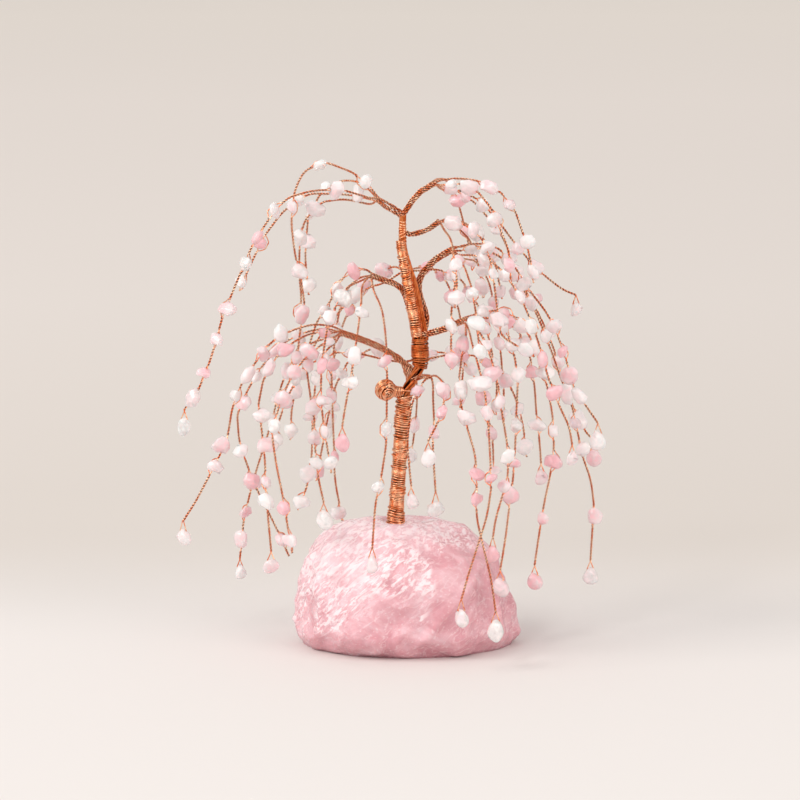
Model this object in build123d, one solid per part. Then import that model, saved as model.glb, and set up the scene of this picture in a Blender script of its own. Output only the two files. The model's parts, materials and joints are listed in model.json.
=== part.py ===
from build123d import *
import math
import os

os.makedirs("parts", exist_ok=True)

# Overall size: all places on the trunk, stems and strands are shares of this height
tree_height = 165.0

# The front view that the routes below are read in: its distance, its tilt and where it looks
view_distance = 1200.0
view_tilt = 9.0
view_middle_share = 0.486
view_target_share = 0.497

# Copper wire
strand_d = 0.76
loop_wire_d = 0.4
trunk_wire_d = 1.0
collar_wire_d = 1.1
wire_gap = 0.08
strand_gap = 0.05
stem_rim = 0.06
strand_lead = 2.6

# Trunk core, from the foot in the stone to the fork at the top
core_root_d = 3.6
core_foot_d = 3.1
core_knob_d = 2.6
core_bend_d = 3.3
core_collar_d = 3.5
core_upper_d = 3.1
core_neck_d = 2.1
core_top_d = 2.4
stub_length = 3.0
foot_sink = 0.08

# Knob at the left of the trunk
knob_radius = 3.4
knob_stub_d = 2.2
knob_length = 4.6
knob_seat_share = 0.5

# Windings: how many turns each has
lower_turns = 24
collar_turns = 5
upper_turns = 15
knob_turns = 3

# Steps in a turn where the gap between turns is measured, and the share for a winding's slope
gap_steps = 24
slope_share = 0.001

# The most strands that leave a stem in one ring
ring_most = 6

# Stone
stone_width = 73.6
stone_depth = 59.0
stone_height = 40.6
socket_depth = 11.0
glue_wall = 0.7
seat_gap = 0.05

# Chips
chip_length = 6.4
chip_thickness = 3.5
chip_hole_gap = 0.16
chip_tail = 0.9
drop_length = 6.6
drop_thickness = 3.2
loop_hole_gap = 0.2
loop_side_gap = 0.3
loop_top_gap = 0.5
loop_rise = 1.5
loop_corner = 0.42
loop_root = 0.5
knee_room = 1.0
knee_least = 0.1


def place(across, back, up):
    """Point seen at (across, up) from the front and lying so far back, all in percent of the height."""
    seen_x = across / 100 * tree_height
    seen_rise = (up / 100 - view_middle_share) * tree_height
    y = back / 100 * tree_height
    tilt = math.radians(view_tilt)
    top = seen_rise * (view_distance + y * math.cos(tilt)) - view_distance * y * math.sin(tilt)
    rise = top / (view_distance * math.cos(tilt) + seen_rise * math.sin(tilt))
    beyond = y * math.cos(tilt) - rise * math.sin(tilt)
    x = seen_x * (view_distance + beyond) / view_distance
    return Vector(x, y, view_target_share * tree_height + rise)


# Stone: for each level, its height share, then how far it reaches in twelve directions, as shares of
# half the width and depth, going round from the right by way of the back
stone_level_shares = [
    (0.000, [0.92, 0.93, 0.90, 0.88, 0.86, 0.90, 0.93, 0.95, 0.93, 0.94, 0.96, 0.93]),
    (0.085, [1.00, 0.99, 0.97, 0.95, 0.93, 0.97, 1.00, 1.02, 1.00, 1.01, 1.03, 1.00]),
    (0.330, [0.97, 0.97, 1.00, 0.96, 0.97, 1.00, 1.00, 0.99, 1.01, 0.98, 1.00, 0.98]),
    (0.560, [0.90, 0.92, 0.95, 0.92, 0.95, 0.97, 0.97, 0.94, 0.95, 0.93, 0.93, 0.90]),
    (0.740, [0.81, 0.82, 0.88, 0.85, 0.88, 0.92, 0.93, 0.86, 0.84, 0.82, 0.82, 0.79]),
    (0.880, [0.65, 0.68, 0.76, 0.74, 0.78, 0.80, 0.80, 0.72, 0.67, 0.64, 0.63, 0.61]),
    (0.960, [0.47, 0.52, 0.60, 0.60, 0.63, 0.65, 0.63, 0.55, 0.48, 0.44, 0.44, 0.43]),
    (1.000, [0.27, 0.32, 0.40, 0.42, 0.45, 0.46, 0.45, 0.38, 0.32, 0.29, 0.27, 0.25]),
]

# Trunk knees, as across, back and up, from the foot to the fork; the foot's height is the stone's top
# and the fork's is the seat of the highest bough
trunk_shares = [
    (-2.3, 0, 23.9),
    (-0.5, 0, 49.4),
    (1.4, 0, 53.0),
    (2.9, 0, 55.2),
    (2.7, 0, 61.4),
    (-0.8, 0, 80.2),
    (-0.7, 0, 85.6),
]
lower_wrap_shares = (0.02, 0.96)
collar_wrap_shares = (0.07, 0.80)
upper_wrap_shares = (0.27, 0.965)
knob_shares = (-4.1, -1.3, 50.6)

# Boughs: the height where each leaves the trunk, then the knees of its stem as across, back and up
stem_shares = {
    "top_left": (85.6, [(-2.9, -0.2, 86.9), (-4.6, -0.3, 88.0)]),
    "top_right": (85.6, [(0.9, 0.2, 88.0), (2.4, 0.3, 90.0), (4.4, 0.3, 91.2)]),
    "sprig": (82.2, [(1.9, 1.0, 81.6), (3.8, 1.4, 82.2), (5.4, 1.4, 83.4)]),
    "upper_right": (61.9, [(4.6, 2.2, 63.0), (4.8, 2.9, 65.1), (4.1, 2.9, 67.6), (3.1, 2.6, 70.6),
                           (3.6, 2.2, 73.6), (5.4, 1.8, 76.5), (8.0, 1.4, 78.0)]),
    "upper_left": (62.8, [(0.7, 1.5, 64.3), (0.1, 2.1, 66.0), (-0.5, 2.2, 68.2), (-1.6, 1.8, 70.6),
                          (-3.4, 1.2, 72.0), (-5.6, 0.6, 73.0)]),
    "upper_back": (64.6, [(2.3, 3.2, 65.8), (1.9, 4.1, 67.0), (1.2, 4.6, 69.1), (0.6, 5.2, 71.2),
                          (0.0, 6.8, 73.2)]),
    "lower_right": (61.9, [(5.4, -0.7, 61.9), (7.8, -1.4, 62.8), (10.3, -2.0, 64.0)]),
    "lower_front": (52.4, [(2.6, -2.6, 52.9), (4.0, -4.6, 53.2)]),
    "lower_left": (53.4, [(-1.2, 1.0, 56.5), (-4.0, 1.4, 58.6), (-8.0, 1.6, 60.4), (-11.6, 1.6, 61.6)]),
    "lower_back": (51.4, [(0.4, 3.0, 52.9), (-0.2, 6.0, 55.2)]),
}

# Strands: how far back the lower end lies, the knees seen from the front as across and up, the rose
# chips and the milky chips at the places where they are seen, and how the last chip is held
strand_shares = {
    "top_left": [
        (3, [(-6.8, 90.8), (-10.4, 94), (-15.5, 96), (-20.2, 94.8), (-22.4, 90.5), (-23, 84), (-22.3, 78),
              (-21, 72.5), (-20.3, 68), (-21.4, 61), (-22.4, 51)],
         [(-6.8, 91), (-22.4, 87), (-20.3, 67.8), (-21.9, 57)], [(-17.4, 96), (-21.3, 74.3), (-22.6, 51.4)],
         "tied"),
        (-15, [(-7, 88.9), (-12, 90.4), (-18, 90.7), (-24, 89), (-28, 84), (-31, 79), (-34.4, 71), (-36.8, 65),
               (-39, 57), (-41.4, 51), (-44.4, 46.6)],
         [(-13.6, 90.7), (-29.8, 81), (-36.2, 66.5), (-37.9, 60.8), (-40.2, 54)],
         [(-26.3, 86.4), (-32.3, 76), (-42.4, 49.6)], "swings"),
        (9, [(-7.2, 88.8), (-12.5, 89.8), (-19.5, 89.9), (-24.6, 86.4), (-28.2, 81.6), (-31, 76), (-33.4, 70.4)],
         [(-9.6, 89.4), (-22, 88.4), (-28.9, 80), (-32.9, 72)], [], "tied"),
        (13, [(-6.8, 87.6), (-12.4, 88.9), (-16.8, 88.2), (-20.4, 84.6), (-21.3, 79), (-21.4, 74), (-20.9, 69),
              (-21.3, 64.4)],
         [(-18.4, 87), (-21, 79.6), (-21.2, 65.6)], [], "tied"),
        (20, [(-6.4, 89.8), (-9.4, 92.4), (-13.4, 92.6), (-17.4, 89.6), (-19.7, 84), (-20.2, 77), (-19.4, 69.6)],
         [(-16, 91), (-20, 80.4), (-19.6, 71)], [(-19.3, 85.6)], "tied"),
    ],
    "top_right": [
        (-5, [(7, 92.6), (10.4, 93), (14.2, 92.5), (18.8, 90.3), (21.8, 86.4), (23.4, 81.8), (24.8, 77),
              (25.5, 72)],
         [(18.3, 90.7), (24, 80.4), (25.3, 73.6)], [(21.6, 86.8)], "tied"),
        (-13, [(6.8, 91.6), (10.8, 91.9), (14.4, 90.2), (17, 87), (18.7, 83), (20.5, 78.6), (20.9, 72.6)],
         [(13.2, 90.8), (20.8, 75.6)], [(9, 91.8), (18, 84.6)], "tied"),
        (8, [(7, 91.2), (10.9, 90.5), (14, 88.9), (18, 85), (21.4, 80.4), (24.4, 76.8), (28, 73.2), (31.4, 70.6),
             (34, 69.6)],
         [(8.6, 90.9), (15.2, 87.8), (22.4, 79.2), (26, 75.2)], [], "swings"),
        (17, [(6.8, 90.6), (10, 90.6), (13.6, 88.2), (17, 84.4), (19.7, 80.6), (21.8, 74.6), (23.2, 68.4)],
         [(11.8, 89.4), (18.4, 82.6), (22.8, 70.4)], [], "tied"),
        (24, [(6.2, 92.8), (8, 92.8), (9.8, 90.2), (11, 86), (12.4, 80.6), (13.2, 74.4)],
         [(10, 88.4), (12, 82.4), (13, 75.8)], [], "tied"),
    ],
    "sprig": [
        (-13, [(7.2, 84.4), (11.7, 83.7), (15.2, 80.9), (16.8, 76.8), (17.6, 72), (18.2, 66.6), (18.8, 61.6),
               (21.8, 59.6), (25.6, 57.2)],
         [(9.4, 84), (16, 79), (17.3, 74), (18.2, 66), (24.4, 58)], [(13.4, 82.4)], "tied"),
        (-20, [(7.6, 82.6), (9, 80.8), (9.6, 77.6), (10.2, 72.4), (9.8, 67)],
         [(9.9, 76.4), (9.9, 69)], [], "tied"),
        (17, [(8.4, 84.9), (12, 84), (15.8, 80.6), (18, 75.4), (19.2, 68.8)],
         [(17, 77.6), (19, 70.4)], [(14, 82.2)], "tied"),
        (20, [(6, 84.4), (9.6, 83.8), (12.8, 80.6), (14.6, 75.4), (15.4, 69)],
         [(13.7, 78.4), (15.1, 71)], [], "tied"),
    ],
    "upper_right": [
        (-5, [(10.6, 79.3), (13.9, 80), (18.6, 79), (22, 74.8), (25.2, 69.8), (28.2, 66), (30.6, 60.8),
              (32.2, 56), (33.4, 51.4), (36, 47.4), (38.4, 43.9)],
         [(16.4, 79.8), (23.8, 72), (29.6, 63.2), (31.4, 58.2), (32.8, 53.4), (34.8, 49.2)], [(20.6, 76.8)],
         "swings"),
        (7, [(10.9, 78.4), (15.2, 79), (19.8, 76.8), (23.4, 71), (26.4, 65.2), (29, 58.6), (31, 52.8),
             (33.2, 47.4), (34.4, 41.8), (35.4, 37), (37, 32.6), (37.6, 27.4), (37.2, 21.6), (36.9, 16.6)],
         [(13, 78.9), (21.8, 73.8), (25, 67.8), (28, 61.4), (32.2, 49.8), (35, 39), (37.4, 25.6)],
         [(34, 44)], "swings"),
        (-15, [(10.2, 77.6), (13.6, 77.6), (17.8, 75.8), (21.4, 71.6), (24, 66.8), (26.4, 60.4), (28.4, 53),
               (30.8, 47), (32.6, 43.4), (33.2, 39.6)],
         [(15.8, 76.8), (19.8, 73.6), (22.8, 69.2), (25.2, 63.6), (27.4, 56.8), (29.6, 50)], [], "swings"),
        (-22, [(9.6, 77), (11.6, 75.6), (13, 71.4), (13.9, 66.4), (14.4, 61.4), (14.8, 56)],
         [(10.6, 76.4), (14.2, 64), (14.7, 57.4)], [(13.3, 69.8)], "tied"),
        (15, [(10.2, 79.2), (14.6, 79.4), (19.4, 77), (23.4, 71.4), (27, 65), (29.6, 58.8), (31.4, 52.4),
              (33.5, 47), (35.8, 42.4), (37.6, 40.4)],
         [(17, 78.4), (25.2, 68.4), (30.4, 56), (32.4, 49.8), (34.6, 44.6)], [(28.4, 61.8)], "swings"),
        (-9, [(10.2, 76), (9.8, 72), (9, 66), (9, 60), (8.8, 54.6)],
         [(9.8, 73.6), (9.1, 63.4), (8.9, 56)], [], "tied"),
        (24, [(10.6, 77), (14, 76.4), (16.6, 72.4), (18.2, 65), (19, 57.6), (19.6, 50.4), (19.4, 44)],
         [(15.2, 74.6), (17.6, 67.8), (18.7, 60), (19.4, 52.6), (19.5, 45.4)], [], "tied"),
    ],
    "upper_left": [
        (-7, [(-8.2, 74.9), (-12.6, 73.2), (-15, 68.6), (-17.8, 64.4), (-19.4, 59.6), (-19.8, 54), (-19, 48.4),
              (-18.7, 43), (-18.9, 37), (-19.8, 31.4), (-21.6, 26.6)],
         [(-10.4, 74.1), (-13.8, 70.9), (-19.7, 56), (-18.8, 45.4), (-19.3, 34), (-20.9, 28.4)],
         [(-16.4, 66.4)], "tied"),
        (-14, [(-9.3, 72.3), (-11.8, 71.2), (-14.2, 67.2), (-15.8, 62.8), (-16.5, 58.4), (-17.1, 52.2), (-16.8, 45.8),
               (-15.9, 39.8), (-15, 34)],
         [(-15, 65), (-16.8, 55.6), (-16.9, 48.6), (-16.3, 42.2)],
         [(-13, 69.2), (-15.2, 35.4)], "tied"),
        (-19, [(-8.9, 71.6), (-8.9, 68.4), (-9.4, 64.2), (-10, 60), (-10.9, 54), (-12, 48.4), (-12.8, 43.4)],
         [(-9.1, 66.4), (-10.4, 57.6)], [(-10.9, 53.4)], "swings"),
        (9, [(-9.2, 73.2), (-11.6, 71.2), (-13.4, 66.4), (-14.3, 60.2), (-14.9, 53.6), (-14.7, 46.4),
             (-14.4, 39.2), (-14.3, 32.6), (-12.6, 24.4)],
         [(-12.5, 69), (-14, 62.4), (-14.8, 55), (-14.8, 49.4), (-14.4, 37)], [(-13, 26.2)], "tied"),
        (-20, [(-6.6, 70.6), (-4.8, 67), (-4, 61), (-3.8, 53.8), (-3.9, 46.2), (-4, 39.4), (-5, 33.2),
               (-6.2, 27.8), (-6.8, 18.8)],
         [(-3.9, 56.4)], [(-3.9, 42.8), (-5.4, 31.2)], "swings"),
    ],
    "upper_back": [
        (26, [(-2.2, 75.5), (-6, 73.8), (-9.8, 69.8), (-12.6, 64), (-14.4, 57.2), (-15.2, 50), (-15.2, 42.6)],
         [(-4.2, 74.2), (-8.2, 71.4), (-11.4, 66.6), (-13.7, 60), (-15.2, 47.6), (-15.2, 44)],
         [(-14.8, 53.4)], "tied"),
        (20, [(-4.2, 72), (-7.4, 71.2), (-12.2, 67.6), (-17.2, 61.6), (-20.8, 54.8), (-22.8, 47.6), (-23.2, 40.6)],
         [(-10, 69.4), (-15, 64.4), (-19.2, 57.8), (-22, 50.6), (-23.2, 42)], [], "tied"),
        (27, [(2.2, 75), (5, 75.2), (8, 72.4), (10.4, 67.4), (11.6, 61), (11.4, 54.2), (10.8, 47)],
         [(4, 75.1), (7.2, 73.2), (9.4, 69.6), (11.4, 62.4), (11, 48.4)], [(11.5, 56.4)], "tied"),
        (21, [(2.4, 74.4), (6.4, 74.8), (11, 72.8), (14.8, 67), (16.9, 59.8), (18.2, 52.4), (18, 45.6)],
         [(9, 73.9), (13, 70), (16.2, 63), (17.8, 55.4), (18.1, 47)], [], "tied"),
    ],
    "lower_right": [
        (-8, [(13, 65.5), (17.9, 66.6), (21.7, 65.4), (24.7, 61.4), (26.6, 56.6), (28.2, 51.4), (29.3, 45.6),
              (29.6, 39.4), (28.8, 33.4), (27.6, 28), (26.6, 21.8), (25.7, 15.6)],
         [(19.8, 66), (23.2, 63.4), (25.6, 59), (27.4, 54), (29.5, 42.4), (29.2, 36.4), (27.1, 24.8)],
         [(15.4, 66)], "swings"),
        (-14, [(13, 65), (17.2, 65), (20.6, 61.4), (21.8, 57), (22.3, 51.4), (22, 45.4), (21.8, 39), (21.4, 33),
               (20.6, 27), (19.8, 20.4), (18.8, 14.6)],
         [(18.8, 63.4), (21.2, 59.4), (22.2, 53.4), (21.6, 36), (20.8, 29.4)],
         [(22, 43.6)], "swings"),
        (-21, [(13.2, 64.2), (15.2, 61.4), (17, 57), (18.4, 51.6), (19.2, 45.8), (20.2, 39.8), (20.4, 33.8),
               (19, 28.6), (17.8, 24.6), (17.3, 20.8)],
         [(16, 59.4), (17.8, 54), (18.8, 48.4), (20.3, 37.4), (19.8, 31.4)], [], "swings"),
        (-26, [(12.6, 62.6), (13.3, 59.4), (14.5, 55.4), (15.8, 49.8), (16.4, 43.8), (16.8, 37.6), (17, 31),
               (16.2, 25.4), (14.4, 19.8), (12.4, 13.6), (11, 8.6)],
         [(15.5, 51.2), (16.3, 45.2), (16.9, 33)], [], "swings"),
        (-23, [(12, 61.4), (11.2, 57.6), (10.6, 53), (10.9, 47.8), (12.4, 42.4), (13.9, 37.4), (14.1, 31.4),
               (14, 25.4), (15.4, 19.2), (17, 12.8), (17.9, 6)],
         [(11.5, 59.6), (11.6, 45), (14.1, 33.6), (14, 28.8)], [(10.7, 51.6)], "swings"),
        (7, [(13.6, 65.2), (18.4, 65.4), (22.4, 62.6), (24.8, 57.4), (25.7, 51.4), (26.1, 45.4), (26.7, 40.4),
             (27, 36)],
         [(16, 65.4), (20.6, 64.2), (24, 59.8), (25.3, 54.2), (26.2, 44.2)], [], "swings"),
    ],
    "lower_front": [
        (-11, [(5.4, 51.8), (5.4, 48.4), (5.6, 44.4), (5.3, 39.2), (5.6, 34.6), (5.9, 30)],
         [(5.5, 42.2)], [], "swings"),
        (-17, [(6, 53.6), (7.6, 52), (7.6, 48.2), (6.2, 43.8), (4.4, 40.4)],
         [(7.5, 50.2), (6.9, 46)], [], "swings"),
        (-15, [(3.6, 52.6), (1.2, 48.2), (0.6, 44), (0.2, 39.6), (0.6, 35.4), (1.0, 31.4)],
         [(2.4, 50.4)], [], "swings"),
    ],
    "lower_left": [
        (-7, [(-14.8, 63.4), (-18.6, 63.8), (-22.7, 62.6), (-27.2, 60), (-30.2, 56), (-33, 51.6), (-34.8, 47),
              (-35.6, 41.8), (-37.4, 37.2), (-39.6, 33), (-42, 28.4), (-44.6, 24.4)],
         [(-25, 61.4), (-28.8, 58), (-31.8, 53.8), (-34, 49.4), (-36.2, 40.4), (-38.4, 35.4)], [],
         "swings"),
        (-14, [(-14.5, 62), (-19.2, 62), (-22.8, 60), (-26, 57.2), (-28.6, 52.6), (-29.6, 47.4),
               (-28.8, 42), (-28.2, 36.2), (-28.1, 30.4), (-27.6, 24.8), (-27, 18.4)],
         [(-16.4, 62.4), (-24.4, 58.8), (-27.4, 55), (-28.5, 39.6), (-28.1, 32), (-27.9, 28.6)],
         [(-29.4, 45.4)], "swings"),
        (11, [(-15, 62.8), (-19, 62.6), (-24, 60.4), (-28.4, 56), (-31.6, 50.8), (-33.8, 45.8), (-33.4, 40.6),
             (-31.8, 35.6), (-29.4, 29.8), (-26.4, 24), (-23.4, 17.4)],
         [(-21.6, 61.6), (-26.2, 58.6), (-30, 53.6), (-32.8, 48.2), (-32.8, 38.4), (-30.6, 32.6), (-25, 20.6)],
         [], "tied"),
        (-20, [(-14.4, 61), (-17, 59.6), (-20.6, 56.6), (-23.6, 52), (-25.6, 46.8), (-26.8, 41.4), (-26, 35.6),
               (-24.8, 30), (-23.9, 24.4), (-22.8, 18)],
         [(-15.4, 60.4), (-19, 58), (-22.4, 54.2), (-24.8, 49), (-24.4, 27), (-23.2, 20.6)], [(-26.6, 42.4)],
         "tied"),
        (15, [(-14.8, 61), (-18.4, 60.4), (-22.4, 57.4), (-24.8, 52), (-26.4, 46.2), (-28, 40.4), (-29.8, 35),
              (-31.4, 29.2), (-32.6, 23.6), (-33.2, 17)],
         [(-20.6, 59), (-23.8, 54.4), (-26.8, 44.6), (-30.6, 32), (-32.2, 26.2), (-32.9, 20.6)],
         [(-25.6, 49)], "swings"),
        (-11, [(-14, 60), (-15.7, 58.9), (-17.7, 54.8), (-18.3, 50.6), (-18.4, 44.6), (-18.2, 38.8),
               (-17.6, 33), (-16.5, 28.2)],
         [(-16.8, 57), (-18.3, 47.4), (-18.3, 41), (-17.9, 36)], [(-18, 52.8)], "swings"),
    ],
    "lower_back": [
        (21, [(-2.8, 58.2), (-7.2, 58.8), (-11.6, 56.4), (-14.2, 51.4), (-15.6, 45.2), (-16.8, 38.8), (-18, 32.4)],
         [(-5.6, 58), (-9.8, 57.6), (-13, 54), (-15, 48), (-16.2, 42), (-17.8, 33.8)], [], "tied"),
        (13, [(-4.2, 56.6), (-8.6, 57.8), (-14, 58.2), (-19, 56), (-22.8, 51.2), (-25.2, 45.2), (-26.8, 38.8)],
         [(-11.4, 58.2), (-16.6, 57.2), (-21, 53.8), (-24.2, 48), (-26.5, 40)], [], "tied"),
        (22, [(3, 57.2), (7, 58.2), (11, 57), (14.2, 52.6), (16.2, 46.4), (17.4, 39.8), (17.6, 33)],
         [(5, 57.8), (9, 57.7), (12.8, 54.6), (15.4, 49.2), (17, 42), (17.6, 34.4)], [], "tied"),
        (13, [(3.4, 56.6), (8.2, 57.6), (13.4, 57.6), (18, 55), (21.6, 50), (23.4, 43.8), (24.2, 37.2)],
         [(10.8, 57.7), (16, 56.2), (20, 52.4), (22.6, 46.8), (24, 38.6)], [], "tied"),
        (25, [(1.2, 55.6), (2.2, 52.6), (2.2, 47.2), (1.6, 41.4), (0.9, 36)],
         [(2, 43.6), (1.1, 37.2)], [], "tied"),
    ],
}

# Chip forms: the outline in the plane of the drill hole, along and across the hole, as shares of the
# chip's length, then its thickness share, and the size and shift shares of its two smaller faces
chip_form_shares = [
    ([(0.36, -0.12), (0.34, 0.17), (0.14, 0.42), (-0.14, 0.46), (-0.36, 0.22), (-0.38, -0.14), (-0.16, -0.36),
      (0.16, -0.34)], 1.00, 0.62, 0.04),
    ([(0.33, -0.20), (0.37, 0.12), (0.22, 0.34), (-0.08, 0.40), (-0.33, 0.28), (-0.37, -0.10), (-0.22, -0.44),
      (0.12, -0.50)], 0.86, 0.58, -0.05),
    ([(0.42, -0.16), (0.44, 0.14), (0.20, 0.30), (-0.16, 0.34), (-0.42, 0.18), (-0.45, -0.12), (-0.24, -0.28),
      (0.18, -0.32)], 0.94, 0.66, 0.03),
    ([(0.29, -0.24), (0.33, 0.10), (0.26, 0.40), (0.02, 0.56), (-0.25, 0.38), (-0.32, 0.08), (-0.28, -0.22),
      (0.02, -0.34)], 1.06, 0.55, -0.03),
    ([(0.38, -0.10), (0.30, 0.20), (0.08, 0.32), (-0.20, 0.28), (-0.38, 0.10), (-0.36, -0.18), (-0.10, -0.40),
      (0.24, -0.38)], 0.80, 0.64, 0.05),
    ([(0.34, -0.16), (0.36, 0.16), (0.12, 0.36), (-0.22, 0.42), (-0.36, 0.14), (-0.30, -0.18), (-0.04, -0.46),
      (0.26, -0.42)], 1.10, 0.60, -0.04),
]
chip_size_shares = [1.0, 0.86, 1.1, 0.92, 0.78, 1.04, 0.96]

# Drop forms of the swinging chips: the outline along the loop's bar and downwards from it, as shares
# of the drop's length, then the size share of the smaller faces and the size share of the whole
drop_form_shares = [
    ([(0.14, 0.20), (0.19, -0.02), (0.34, -0.34), (0.30, -0.62), (0.08, -0.80), (-0.20, -0.74), (-0.36, -0.46),
      (-0.19, -0.02), (-0.12, 0.20)], 0.60, 0.92),
    ([(0.10, 0.22), (0.18, 0.00), (0.28, -0.28), (0.36, -0.54), (0.16, -0.78), (-0.16, -0.82), (-0.32, -0.56),
      (-0.18, -0.04), (-0.14, 0.19)], 0.56, 0.78),
    ([(0.13, 0.19), (0.18, -0.03), (0.38, -0.40), (0.26, -0.72), (0.00, -0.84), (-0.26, -0.66), (-0.30, -0.36),
      (-0.19, 0.00), (-0.11, 0.21)], 0.64, 1.12),
]
drop_middle_share = 0.30
drop_neck_share = 0.19
drop_top_share = 0.22

# The turn that each next chip and each next loop takes about its wire
chip_turn = 137.5
loop_turn = 47.0
loop_turn_start = -30.0
loop_turn_range = 60.0


def limb(start, end, start_d, end_d):
    """Round tapering piece from one point to another."""
    axis = end - start
    cone = Cone(start_d / 2, end_d / 2, axis.length, align=(Align.CENTER, Align.CENTER, Align.MIN))
    return Plane(origin=start, z_dir=axis.normalized()) * cone


def ball(centre, diameter):
    return Pos(*centre) * Sphere(diameter / 2)


def ring_radius(count):
    """Radius of the ring that strands leave a stem in; past the most that a ring takes, one is central."""
    return (strand_d + strand_gap) / 2 / math.sin(math.pi / min(count, ring_most))


def bundle_d(count):
    """Diameter of a stem that so many strands leave."""
    return 2 * ring_radius(count) + strand_d + 2 * stem_rim


def tube(points, diameter, tangents):
    """Round bar along straight runs joined by arcs, with the arc length that each knee may take."""
    radii = []
    for i in range(1, len(points) - 1):
        turn = (points[i] - points[i - 1]).get_angle(points[i + 1] - points[i])
        radii.append(tangents[i] / math.tan(math.radians(turn) / 2))
    if radii:
        path = FilletPolyline(*points, radius=radii)
    else:
        path = Line(points[0], points[1])
    profile = Plane(origin=points[0], z_dir=points[1] - points[0]) * Circle(diameter / 2)
    return sweep(profile.face(), path=path)


def run_tangents(points, keep_outs=()):
    """How much of the runs beside each knee its arc may take, clear of the chips on those runs."""
    tangents = [0.0] * len(points)
    for i in range(1, len(points) - 1):
        before = (points[i] - points[i - 1]).length
        after = (points[i + 1] - points[i]).length
        tangents[i] = 0.45 * min(before, after)
        for run, start, end in keep_outs:
            if run == i - 1:
                tangents[i] = min(tangents[i], before - end)
            if run == i:
                tangents[i] = min(tangents[i], start)
        tangents[i] = max(tangents[i], knee_least)
    return tangents


def winding(start, end, turns, radius_at, wire_d):
    """Unbroken wire wound about an axis, on two arcs for each quarter turn, with straight ends."""
    axis = end - start
    frame = Plane(origin=start, z_dir=axis.normalized())
    knots = []
    for quarter in range(4 * turns + 1):
        share = quarter / (4 * turns)
        angle = quarter * math.pi / 2
        radius = radius_at(share)
        slope = (radius_at(share + slope_share) - radius_at(share - slope_share)) / (2 * slope_share)
        point = frame.from_local_coords(
            Vector(radius * math.cos(angle), radius * math.sin(angle), share * axis.length))
        sweep_rate = turns * 2 * math.pi
        heading = Vector(
            slope * math.cos(angle) - radius * sweep_rate * math.sin(angle),
            slope * math.sin(angle) + radius * sweep_rate * math.cos(angle),
            axis.length)
        heading = (frame.from_local_coords(heading) - start).normalized()
        knots.append((point, heading))
    first, first_heading = knots[0]
    last, last_heading = knots[-1]
    edges = [Line(first - first_heading * wire_d, first)]
    for (p, t), (q, s) in zip(knots, knots[1:]):
        gap = q - p
        both = t + s
        a = 4 - both.dot(both)
        b = 2 * gap.dot(both)
        c = -gap.dot(gap)
        reach = (-b + math.sqrt(b * b - 4 * a * c)) / (2 * a)
        near = p + t * reach
        far = q - s * reach
        joint = (near + far) / 2
        edges.append(TangentArc(p, joint, tangent=t))
        edges.append(TangentArc(joint, q, tangent=(far - near).normalized()))
    edges.append(Line(last, last + last_heading * wire_d))
    path = Wire([edge.edge() for edge in edges])
    profile = Plane(origin=first - first_heading * wire_d, z_dir=first_heading) * Circle(wire_d / 2)
    return sweep(profile.face(), path=path)


def winding_gap(start, end, turns, radius_at, wire_d):
    """Least gap between one turn of a winding and the next, measured on points along it."""
    length = (end - start).length
    points = []
    for k in range(turns * gap_steps + 1):
        share = k / (turns * gap_steps)
        angle = 2 * math.pi * k / gap_steps
        radius = radius_at(share)
        points.append(Vector(radius * math.cos(angle), radius * math.sin(angle), share * length))
    least = length
    for i, point in enumerate(points):
        for j in range(i + gap_steps * 3 // 4, min(i + gap_steps * 5 // 4, len(points))):
            least = min(least, (points[j] - point).length)
    return least - wire_d


def block(outline, middle, small, shift, thickness):
    """Bevelled pebble: an outline with a smaller one of the same form on each side of it."""
    sections = []
    for side, move in ((-1, shift), (0, 0), (1, -shift)):
        size = small if side else 1
        points = [((x * size + move), (middle + (y - middle) * size)) for x, y in outline]
        sections.append(Pos(0, 0, side * thickness / 2) * make_face(Polyline(*points, close=True)))
    return loft(sections, ruled=True)


def chip(kind):
    """Chip with its drill hole along X, centred on the origin; a kind is a form in a size."""
    outline, thick_share, small_share, shift_share = chip_form_shares[kind % len(chip_form_shares)]
    size = chip_size_shares[kind % len(chip_size_shares)]
    length = chip_length * size
    points = [(x * length, y * length) for x, y in outline]
    solid = block(points, 0, small_share, shift_share * length, chip_thickness * thick_share * size)
    hole = Rot(0, 90, 0) * Cylinder(strand_d / 2 + chip_hole_gap, length * 2)
    return solid - hole


def chip_reach(kind):
    """Half the length of wire that a chip covers."""
    outline = chip_form_shares[kind % len(chip_form_shares)][0]
    size = chip_size_shares[kind % len(chip_size_shares)]
    return max(abs(x) for x, y in outline) * chip_length * size


def drop(form):
    """Swinging chip, hung from a bar along X through the origin."""
    outline, small_share, size = drop_form_shares[form % len(drop_form_shares)]
    length = drop_length * size
    points = [(x * length, y * length) for x, y in outline]
    solid = block(points, -drop_middle_share * length, small_share, 0, drop_thickness * size)
    hole = Rot(0, 90, 0) * Cylinder(loop_wire_d / 2 + loop_hole_gap, length * 2)
    return Rot(90, 0, 0) * (solid - hole)


def loop_size(form):
    """Half width and height of the wire loop that a drop hangs in, on the wire's centre line."""
    size = drop_form_shares[form % len(drop_form_shares)][2]
    half = drop_neck_share * drop_length * size + loop_side_gap + loop_wire_d / 2
    side = drop_top_share * drop_length * size + loop_top_gap
    return half, side


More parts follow.
